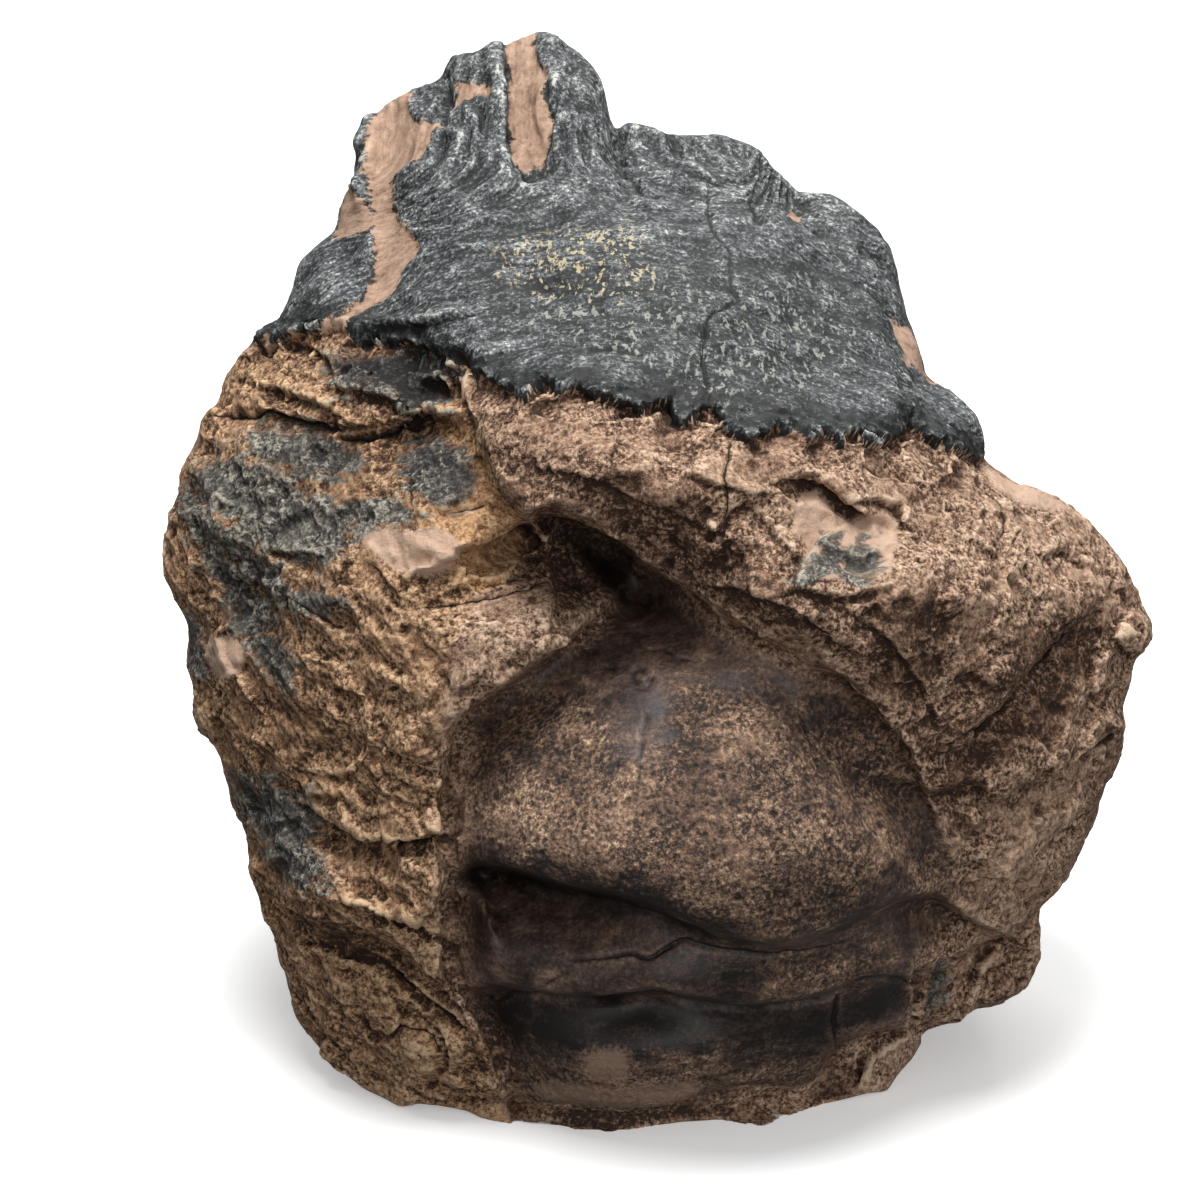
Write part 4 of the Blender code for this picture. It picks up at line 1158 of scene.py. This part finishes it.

# %% [markdown]
# ## Masks for the finishes
# The mesh keeps the distances as attributes that the finishes can read. Two more values tell hollows
# from crests: the mesh is smoothed a little and a lot, and each point is compared with where it was.
# The finishes darken the hollows and the valleys with these values, as painted shade, and make the
# crests paler, so these values do much for the look of stone.

# %% Store the masks
NARROW_ROUNDS = 5
WIDE_ROUNDS = 40
HOLLOW_LIMIT = 0.4
VALLEY_LIMIT = 1.0


def smoothed(mesh, places, rounds):
    """The places of the mesh's points after each has moved to the middle of its neighbours."""
    pairs = np.empty(len(mesh.edges) * 2, np.int32)
    mesh.edges.foreach_get("vertices", pairs)
    a, b = pairs.reshape(-1, 2).T
    count = len(mesh.vertices)
    links = np.bincount(a, minlength=count) + np.bincount(b, minlength=count)
    for _ in range(rounds):
        total = np.column_stack([
            np.bincount(a, places[b, axis], count) + np.bincount(b, places[a, axis], count)
            for axis in range(3)])
        places = 0.5 * places + 0.5 * total / np.maximum(links, 1)[:, None]
    return places


def store(mesh, name, values):
    attribute = mesh.attributes.new(name, "FLOAT", "POINT")
    attribute.data.foreach_set("value", values.astype(np.float32))


normals = vertex_array(tooth.data, "normal")
narrow = smoothed(tooth.data, moved, NARROW_ROUNDS)
wide = smoothed(tooth.data, narrow, WIDE_ROUNDS)
hollow = np.einsum("ij,ij->i", narrow - moved, normals) / MILLIMETRE
valley = np.einsum("ij,ij->i", wide - narrow, normals) / MILLIMETRE
for name in (
        "stain", "waxy", "rough_dome", "tan", "ochre", "flaky", "cement", "dirt", "yellow", "white",
        "crown"):
    store(tooth.data, name, zone[name])
store(tooth.data, "calm", calm)
store(tooth.data, "hollow", np.clip(hollow, -HOLLOW_LIMIT, HOLLOW_LIMIT))
store(tooth.data, "valley", np.clip(valley, -VALLEY_LIMIT, VALLEY_LIMIT))
store(tooth.data, "crack", crack)
store(tooth.data, "crack_depth", crack_depth)
along = tooth.data.attributes.new("grain", "FLOAT_VECTOR", "POINT")
along.data.foreach_set("vector", lines.astype(np.float32).ravel())
print("hollows:", np.round(np.percentile(hollow, (1, 50, 99)), 3), "valleys:",
      np.round(np.percentile(valley, (1, 50, 99)), 3))

# %% [markdown]
# ## Parting and thinning
# One mesh this fine would be too heavy, so it is parted where the material changes: the crown, the
# flaky rock, the brow, the dome with its folds, and the hidden back. Each is thinned on its own, most
# where nothing is seen. The points along a cut are kept as they are, so that neighbours still meet.

# %% Part the surface
PIECES = {
    "crown_plates": 185000, "left_rock": 165000, "brow_rock": 190000, "dome_folds": 110000,
    "root_back": 120000,
}
LEFT_ROCK_LIMIT = 470.0
WAXY_BORDER = -1.5


def border_group(obj):
    """A vertex group of all points but those on an open edge."""
    mesh = obj.data
    used = np.empty(len(mesh.loops), np.int32)
    mesh.loops.foreach_get("edge_index", used)
    pairs = np.empty(len(mesh.edges) * 2, np.int32)
    mesh.edges.foreach_get("vertices", pairs)
    open_edges = np.bincount(used, minlength=len(mesh.edges)) == 1
    inside = np.ones(len(mesh.vertices), bool)
    inside[pairs.reshape(-1, 2)[open_edges].ravel()] = False
    group = obj.vertex_groups.new(name="inside")
    group.add(np.nonzero(inside)[0].tolist(), 1.0, "REPLACE")
    return group.name


def thin_out(obj, triangles):
    have = sum(len(face.vertices) - 2 for face in obj.data.polygons)
    thin = obj.modifiers.new("Decimate", "DECIMATE")
    thin.decimate_type = "COLLAPSE"
    thin.ratio = min(1.0, triangles / have)
    thin.use_collapse_triangulate = True
    thin.vertex_group = border_group(obj)
    apply_modifiers(obj)
    obj.vertex_groups.clear()
    count = len(obj.data.polygons)
    obj.data.polygons.foreach_set("use_smooth", np.ones(count, bool))
    obj.data.polygons.foreach_set("material_index", np.zeros(count, np.int32))


owner = np.where(zone["waxy"] > WAXY_BORDER, 3, np.where(grid_x < LEFT_ROCK_LIMIT, 1, 2))
owner = np.where(crust > 0.5, 0, owner)
owner = np.where(zone["front"] < 0.5, 4, owner)
first = np.empty(len(tooth.data.polygons), np.int32)
tooth.data.polygons.foreach_get("loop_start", first)
corner_points = np.empty(len(tooth.data.loops), np.int32)
tooth.data.loops.foreach_get("vertex_index", corner_points)
for name in PIECES:
    tooth.data.materials.append(bpy.data.materials.new(name))
tooth.data.polygons.foreach_set("material_index", owner[corner_points[first]].astype(np.int32))

bpy.ops.object.select_all(action="DESELECT")
bpy.context.view_layer.objects.active = tooth
tooth.select_set(True)
bpy.ops.object.mode_set(mode="EDIT")
bpy.ops.mesh.select_all(action="SELECT")
bpy.ops.mesh.separate(type="MATERIAL")
bpy.ops.object.mode_set(mode="OBJECT")
pieces = {}
for obj in list(bpy.context.selected_objects):
    name = obj.material_slots[obj.data.polygons[0].material_index].material.name
    obj.name = name
    pieces[name] = obj
for name, triangles in PIECES.items():
    thin_out(pieces[name], triangles)
    pieces[name].data.materials.clear()
    set_vertices(pieces[name].data, np.clip(vertex_array(pieces[name].data), low, high))
    print(name, "has", sum(len(face.vertices) - 2 for face in pieces[name].data.polygons), "triangles")

# %% [markdown]
# ## A small language for shader maths
# Node trees get long. One class wraps a socket so that shader maths can be written as plain
# expressions: adding two wires adds an Add node. Any other node comes from one method, which takes
# the node's type, its settings and its inputs.

# %% Wires
class Wire:
    """An output socket of a node, with plain arithmetic."""

    def __init__(self, tree, socket):
        self.tree = tree
        self.socket = socket

    def node(self, kind, settings=None, inputs=None, output=0):
        """Adds a node of this type. Settings are set first, then values or wires go to its sockets."""
        made = self.tree.nodes.new(kind)
        for name, value in (settings or {}).items():
            if name == "stops":
                stops = made.color_ramp.elements
                while len(stops) < len(value):
                    stops.new(1.0)
                for stop, (position, colour) in zip(stops, value):
                    stop.position = position
                    stop.color = colour
            else:
                setattr(made, name, value)
        for name, value in (inputs or {}).items():
            if isinstance(value, Wire):
                self.tree.links.new(value.socket, made.inputs[name])
            else:
                made.inputs[name].default_value = value
        return Wire(self.tree, made.outputs[output])

    def maths(self, operation, *values):
        return self.node("ShaderNodeMath", {"operation": operation}, dict(enumerate(values)))

    def __add__(self, other):
        return self.maths("ADD", self, other)

    def __sub__(self, other):
        return self.maths("SUBTRACT", self, other)

    def __rsub__(self, other):
        return self.maths("SUBTRACT", other, self)

    def __mul__(self, other):
        return self.maths("MULTIPLY", self, other)

    __radd__ = __add__
    __rmul__ = __mul__

    def size(self):
        return self.maths("ABSOLUTE", self)

    def step(self, low, high):
        """0 below low and 1 above high, with a soft change between them."""
        return self.node("ShaderNodeMapRange", {"interpolation_type": "SMOOTHSTEP"},
                         {"Value": self, "From Min": low, "From Max": high})

    def scaled(self, *factors):
        """A vector wire, with each of its parts multiplied."""
        return self.node("ShaderNodeVectorMath", {"operation": "MULTIPLY"}, {0: self, 1: factors})

    def moved(self, other):
        return self.node("ShaderNodeVectorMath", {"operation": "ADD"}, {0: self, 1: other})

    def noise(self, size, detail=3.0, roughness=0.5):
        """Noise from 0 to 1 whose bumps are this size, read at a vector in the same unit."""
        return self.node("ShaderNodeTexNoise", None, {
            "Vector": self, "Scale": 1.0 / size, "Detail": detail, "Roughness": roughness})

    def sway(self, size, strength):
        """This vector, wavering by up to half the strength over the given size."""
        drift = self.node("ShaderNodeTexNoise", None, {
            "Vector": self, "Scale": 1.0 / size, "Detail": 1.0}, output=1)
        return self.moved(drift.moved((-0.5, -0.5, -0.5)).scaled(strength, strength, strength))

    def cells(self, size):
        """The distance to the nearest of many scattered points, in sizes."""
        return self.node("ShaderNodeTexVoronoi", {"feature": "F1"}, {
            "Vector": self, "Scale": 1.0 / size, "Randomness": 1.0})

    def ramp(self, *stops):
        """A colour for each value: pairs of a position and a colour."""
        return self.node("ShaderNodeValToRGB", {"stops": stops}, {"Fac": self})

    def blend(self, first, second):
        """Colours: the first where this wire is 0, the second where it is 1."""
        return self.node("ShaderNodeMix", {"data_type": "RGBA"}, {"Factor": self, 6: first, 7: second},
                         output=2)


def shade(red, green, blue):
    """A colour as it looks on a screen, from 0 to 255, in the linear values that shaders use."""
    linear = [((c / 255 + 0.055) / 1.055) ** 2.4 if c > 10 else c / 255 / 12.92 for c in (red, green, blue)]
    return (*linear, 1.0)


# %% [markdown]
# ## A finish and its parts
# Every finish starts alike: a Principled shader, the object's coordinates in millimetres, and the
# masks. So a small class sets these up and ends by plugging in colour, roughness and fine relief.
# The relief of a finish is only what is too fine for the mesh, below about a third of a millimetre.

# %% The start and end of a finish
CRACK_COLOUR = shade(14, 10, 9)


class Finish:
    """The start and the end that all the tooth's finishes share."""

    def __init__(self, name):
        self.material = bpy.data.materials.new(name)
        self.material.use_nodes = True
        self.tree = self.material.node_tree
        self.shader = self.tree.nodes["Principled BSDF"]
        self.start = Wire(self.tree, None)
        self.mm = self.start.node("ShaderNodeTexCoord", output=3).scaled(1000.0, 1000.0, 1000.0)
        self.hollow = self.mask("hollow")
        self.valley = self.mask("valley")

    def mask(self, name):
        return self.start.node("ShaderNodeAttribute", {"attribute_name": name}, output=2)

    def grain(self):
        return self.start.node("ShaderNodeAttribute", {"attribute_name": "grain"}, output=1)

    def crack_mark(self):
        line = 1 - self.mask("crack").size().step(0.03, 0.16)
        return line * self.mask("crack_depth").step(0.05, 0.45)

    def end(self, colour, roughness, height, specular=0.3):
        relief = self.start.node("ShaderNodeBump", None, {
            "Height": height, "Strength": 1.0, "Distance": MILLIMETRE})
        self.tree.links.new(colour.socket, self.shader.inputs["Base Color"])
        self.tree.links.new(roughness.socket, self.shader.inputs["Roughness"])
        self.tree.links.new(relief.socket, self.shader.inputs["Normal"])
        self.shader.inputs["Specular IOR Level"].default_value = specular
        return self.material


# %% [markdown]
# ## Brown cement
# Old cement is mottled at every scale. Three noises carry it: wide patches, streaks that follow the
# warped layers, and specks down to a tenth of a millimetre. Together with the hollows they give one
# value, and a ramp turns the value into colours, from dark in the hollows, as painted shade, to pale
# on the crests. The left side's rock is more ochre than the brow's pinkish grey, so it has its own ramp.

# %% The brown finish
def brown_parts(finish):
    """The noises of the brown cement and its value, which other finishes build on."""
    swirled = finish.mm.sway(9.0, 5.0)
    patches = swirled.noise(13.0, 2.0, 0.5)
    streaks = swirled.scaled(0.4, 0.8, 1.5).noise(2.0, 3.0, 0.6)
    specks = finish.mm.noise(0.55, 4.0, 0.8)
    grit = (specks - 0.5) * (3.3 - finish.mask("calm") * 1.5)
    # Painted shade: the value is lowered in hollows, in wide valleys and inside the painted-shade outlines.
    value = (0.49 + (patches - 0.5) * 0.55 + (streaks - 0.5) * 0.85 + grit - finish.hollow * 1.4
             - finish.valley * 0.22 - finish.mask("dirt").step(-2.0, 2.0) * 0.25)
    return streaks, specks, value


def brown_colour(finish, streaks, specks, value):
    rose = value.ramp(
        (0.08, shade(52, 36, 26)), (0.30, shade(100, 74, 57)), (0.52, shade(150, 121, 100)),
        (0.74, shade(188, 157, 132)), (0.98, shade(218, 192, 166)))
    ochre = value.ramp(
        (0.08, shade(50, 34, 24)), (0.30, shade(98, 72, 52)), (0.52, shade(146, 113, 86)),
        (0.74, shade(184, 148, 114)), (0.98, shade(212, 182, 148)))
    bright_ochre = (value + 0.1).ramp(
        (0.1, shade(84, 56, 36)), (0.4, shade(150, 112, 78)), (0.65, shade(190, 150, 110)),
        (0.95, shade(216, 184, 146)))
    # Painted shade: the tan patches darken in the hollows too.
    plain_tan = (0.6 + (specks - 0.5) * 0.7 - finish.hollow).ramp(
        (0.1, shade(126, 98, 80)), (0.5, shade(182, 152, 130)), (0.9, shade(206, 178, 156)))
    colour = (finish.mask("flaky") + (streaks - 0.5) * 6.0).step(-1.5, 1.5).blend(rose, ochre)
    colour = (finish.mask("ochre") + (streaks - 0.5) * 5.0).step(-0.8, 0.8).blend(colour, bright_ochre)
    return (finish.mask("tan") + (specks - 0.5) * 1.6).step(-0.3, 0.5).blend(colour, plain_tan)


def brown_height(streaks, specks):
    return specks * 0.30 + streaks * 0.10


def rock_finish():
    finish = Finish("brown cement")
    streaks, specks, value = brown_parts(finish)
    colour = brown_colour(finish, streaks, specks, value)
    soot = (value - 0.06).ramp(
        (0.10, shade(22, 23, 23)), (0.40, shade(62, 62, 60)), (0.65, shade(106, 104, 97)),
        (0.95, shade(172, 166, 150)))
    edge = (streaks - 0.5) * 11.0 + (specks - 0.5) * 4.0 - finish.hollow * 3.0
    stained = (finish.mask("stain") + edge + 0.5).step(-0.9, 0.9) * 0.95
    colour = stained.blend(colour, soot)
    colour = finish.crack_mark().blend(colour, CRACK_COLOUR)
    roughness = 0.84 - stained * 0.12 + (specks - 0.5) * 0.2
    return finish.end(colour, roughness, brown_height(streaks, specks))


# %% [markdown]
# ## Polished folds
# The dome and the folds are darker and waxy, with cloudy marks. Where the polish has worn off, the
# dome is speckled with pits and pale crumbs. Towards its border this finish turns into the brown
# cement by the same noises, so that the border doesn't show.

# %% The finish of the dome and the folds
def folds_finish():
    finish = Finish("polished folds")
    streaks, specks, value = brown_parts(finish)
    brown = brown_colour(finish, streaks, specks, value)
    clouds = finish.mm.sway(6.0, 4.0).noise(6.0, 3.0, 0.6)
    # Painted shade: the wax is darker inside the painted-shade outlines and in the hollows.
    dirt = finish.mask("dirt").step(-2.0, 2.0)
    wax = (0.42 + (clouds - 0.5) * 1.2 + (streaks - 0.5) * 0.7 + (specks - 0.5) * 1.2
           - finish.hollow * 1.5 - dirt * 0.35).ramp(
        (0.08, shade(22, 16, 14)), (0.36, shade(66, 51, 45)), (0.62, shade(106, 85, 73)),
        (0.95, shade(172, 144, 120)))
    pits = finish.mm.sway(2.0, 0.8).cells(0.9).step(0.12, 0.42)
    dome = (value - 0.10 + (clouds - 0.5) * 0.9 + (pits - 1.0) * 0.16).ramp(
        (0.08, shade(34, 25, 20)), (0.32, shade(80, 61, 50)), (0.55, shade(122, 96, 78)),
        (0.78, shade(160, 132, 107)), (1.0, shade(204, 176, 144)))
    worn = (finish.mask("rough_dome") + (streaks - 0.5) * 7.0 + (clouds - 0.5) * 9.0).step(-2.5, 2.5)
    colour = worn.blend(wax, dome)
    bare = (finish.mask("tan") + (specks - 0.5) * 4.0).step(-0.5, 1.0) * 0.55
    colour = bare.blend(colour, shade(168, 138, 116))
    waxy = (finish.mask("waxy") + (streaks - 0.5) * 3.0).step(-0.7, 2.4)
    colour = waxy.blend(brown, colour)
    colour = finish.crack_mark().blend(colour, CRACK_COLOUR)
    roughness = 0.82 - waxy * (1 - worn) * 0.34 - worn * 0.1
    height = brown_height(streaks, specks) * (1 - waxy * (1 - worn) * 0.85) + (pits - 1.0) * worn * 0.06
    return finish.end(colour, roughness, height, specular=0.4)


# %% [markdown]
# ## The crown's finish
# The crown is charcoal grey. Strands along the grain give it light and dark streaks, and in two zones
# short pale flecks cross them, yellowish at the top. Its front edge is nearly black: partly the
# crust's own black, partly painted shade on the wall of its overhanging rim. The hollows are darkened
# as painted shade. Pink-brown cement fills the gaps between the plates, with fine lines across each strip.

# %% The crown
def crown_finish():
    finish = Finish("black crown")
    grain = finish.grain().sway(7.0, 2.4)
    strands = grain.scaled(0.22, 1.0, 0.5).noise(0.55, 3.0, 0.65)
    tufts = grain.scaled(0.45, 1.0, 0.7).noise(2.4, 2.0, 0.6)
    flecks = grain.scaled(1.0, 0.34, 0.6).noise(0.75, 2.0, 0.6)
    specks = finish.mm.noise(0.5, 3.0, 0.75)
    # Painted shade: the value is lowered in hollows and wide valleys.
    value = (0.41 + (strands - 0.5) * 1.1 + (tufts - 0.5) * 1.0 + (specks - 0.5) * 2.5
             - finish.hollow * 1.6 - finish.valley * 0.2)
    # Partly painted shade: the front edge darkens towards black where the rim overhangs.
    edge = 1 - finish.mask("crown").step(0.8, 3.2)
    in_yellow = (finish.mask("yellow") + (tufts - 0.5) * 8.0).step(-1.0, 1.5)
    in_white = (finish.mask("white") + (tufts - 0.5) * 8.0).step(-1.5, 2.0)
    near_front = finish.mask("white").step(-6.0, 2.0)
    black = (value - edge * 0.42 - near_front * 0.14).ramp(
        (0.10, shade(14, 15, 15)), (0.34, shade(47, 49, 50)), (0.56, shade(84, 87, 88)),
        (0.78, shade(124, 127, 126)), (1.0, shade(186, 188, 180)))
    light = (flecks + (specks - 0.5) * 0.4).step(0.56, 0.64)
    black = (light * in_white * 0.62).blend(black, shade(160, 162, 154))
    black = (light * in_yellow * 0.8).blend(black, shade(178, 164, 130))
    lines = grain.scaled(0.3, 1.0, 0.5).noise(0.5, 2.0, 0.6)
    # Painted shade: the cement strips darken in the hollows.
    strip = (0.46 +(lines - 0.5) * 0.8 + (specks - 0.5) * 0.6 + (tufts - 0.5) * 0.5 - finish.hollow).ramp(
        (0.1, shade(96, 74, 60)), (0.5, shade(160, 132, 112)), (0.9, shade(192, 164, 142)))
    cement = (finish.mask("cement") + (specks - 0.5) * 1.6 + (tufts - 0.5) * 3.0).step(-0.15, 0.15)
    colour = cement.blend(black, strip)
    colour = finish.crack_mark().blend(colour, CRACK_COLOUR)
    roughness = 0.62 + cement * 0.2 + (specks - 0.5) * 0.3
    height = (strands * 0.22 + specks * 0.16) * (1 - cement * 0.5) + light * in_white * 0.05
    return finish.end(colour, roughness, height, specular=0.35)


# %% [markdown]
# ## The back
# Nothing of the back is seen from the front, but it is the same tooth: black plates with brown cement
# between them above, brown root below. Its finish is the brown one, with the crown's charcoal where
# the plates are.

# %% The finish of the back
def back_finish():
    finish = Finish("plates and root")
    streaks, specks, value = brown_parts(finish)
    brown = brown_colour(finish, streaks, specks, value)
    strands = finish.grain().sway(7.0, 2.4).scaled(1.0, 0.2, 0.5).noise(0.6, 3.0, 0.65)
    # Painted shade: the plates are darker in the hollows.
    black = (0.42 + (strands - 0.5) * 1.5 + (specks - 0.5) * 1.2 - finish.hollow * 2.2).ramp(
        (0.10, shade(18, 20, 21)), (0.34, shade(58, 62, 64)), (0.56, shade(98, 103, 105)),
        (0.78, shade(140, 146, 146)), (1.0, shade(200, 203, 196)))
    plates = (finish.mask("crown") + (streaks - 0.5) * 4.0).step(-0.3, 0.3)
    cement = (finish.mask("cement") + (streaks - 0.5) * 2.0).step(-0.2, 0.2)
    colour = (plates * (1 - cement)).blend(brown, black)
    roughness = 0.84 - plates * (1 - cement) * 0.2
    return finish.end(colour, roughness, brown_height(streaks, specks))


rock = rock_finish()
finishes = {
    "crown_plates": crown_finish(), "left_rock": rock, "brow_rock": rock,
    "dome_folds": folds_finish(), "root_back": back_finish(),
}
for name, piece in pieces.items():
    piece.data.materials.append(finishes[name])
    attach(piece, "root")
    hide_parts("mammoth_tooth")
    print(name, "has", len(finishes[name].node_tree.nodes), "nodes")

# %% [markdown]
# ## Floor, light and camera
# The tooth stands on a plain pale floor in soft studio light from above. The floor glows a
# little, so that it looks white, with a soft shadow where the tooth meets it. It is hidden from
# bounced rays, because the light it threw back made the underside too pale.

# %% The floor
FLOOR_HALF = 6.0
FLOOR_GLOW = 0.3
sheet = bmesh.new()
bmesh.ops.create_grid(sheet, x_segments=1, y_segments=1, size=FLOOR_HALF)
floor_mesh = bpy.data.meshes.new("floor")
sheet.to_mesh(floor_mesh)
sheet.free()
floor = bpy.data.objects.new("floor", floor_mesh)
bpy.context.scene.collection.objects.link(floor)
floor_finish = bpy.data.materials.new("pale floor")
floor_finish.use_nodes = True
floor_shader = floor_finish.node_tree.nodes["Principled BSDF"]
floor_shader.inputs["Base Color"].default_value = (0.92, 0.92, 0.92, 1.0)
floor_shader.inputs["Roughness"].default_value = 0.9
floor_shader.inputs["Specular IOR Level"].default_value = 0.0
floor_shader.inputs["Emission Color"].default_value = (1.0, 1.0, 1.0, 1.0)
floor_shader.inputs["Emission Strength"].default_value = FLOOR_GLOW
floor_mesh.materials.append(floor_finish)
floor.visible_diffuse = False
floor.visible_glossy = False
print("the floor is", 2 * FLOOR_HALF, "m wide")

# %% The lights
def area_light(name, at, target, width, power):
    lamp = bpy.data.lights.new(name, "AREA")
    lamp.shape = "DISK"
    lamp.size = width
    lamp.energy = power
    holder = bpy.data.objects.new(name, lamp)
    bpy.context.scene.collection.objects.link(holder)
    holder.location = at
    holder.rotation_mode = "QUATERNION"
    holder.rotation_quaternion = (Vector(target) - Vector(at)).to_track_quat("-Z", "Y")
    return holder


MIDDLE = (0.0, 0.0, 0.06)
area_light("key", (-0.04, -0.18, 0.90), MIDDLE, 0.45, 9.5)
area_light("front fill", (0.34, -0.86, 0.25), MIDDLE, 0.6, 2.1)
area_light("back", (0.20, 0.55, 0.75), MIDDLE, 0.5, 3.0)

world = bpy.data.worlds.new("studio")
bpy.context.scene.world = world
world.use_nodes = True
WORLD_ABOVE = 0.55
WORLD_BELOW = 0.16
sky = Wire(world.node_tree, None)
up = sky.node("ShaderNodeSeparateXYZ", None, {
    "Vector": sky.node("ShaderNodeTexCoord", output=0)}, output=2)
glow = up.step(-0.3, 0.5) * (WORLD_ABOVE - WORLD_BELOW) + WORLD_BELOW
seen = sky.node("ShaderNodeLightPath", output=0)
level = glow * (1 - seen) + seen * 1.0
background = world.node_tree.nodes["Background"]
background.inputs["Color"].default_value = (1.0, 1.0, 1.0, 1.0)
world.node_tree.links.new(level.socket, background.inputs["Strength"])

# %% The camera
FRAME_STEPS = 1200
SENSOR_MM = 36.0
eye = Vector(EYE)
half_frame = FRAME_STEPS / 2
frame_middle = Vector(place(np.array([half_frame]), np.array([half_frame]), np.array([0.0]))[0])
camera_data = bpy.data.cameras.new("camera")
camera_data.sensor_width = SENSOR_MM
camera_data.lens = SENSOR_MM / 2 / (half_frame * GRID_STEP / EYE_DISTANCE)
camera_data.clip_start = 0.01
camera_data.clip_end = 50.0
camera = bpy.data.objects.new("camera", camera_data)
bpy.context.scene.collection.objects.link(camera)
camera.location = eye
camera.rotation_mode = "QUATERNION"
camera.rotation_quaternion = (frame_middle - eye).to_track_quat("-Z", "Y")
bpy.context.scene.camera = camera
bpy.context.scene.view_settings.view_transform = "Standard"
print("lens:", round(camera_data.lens, 1), "mm")
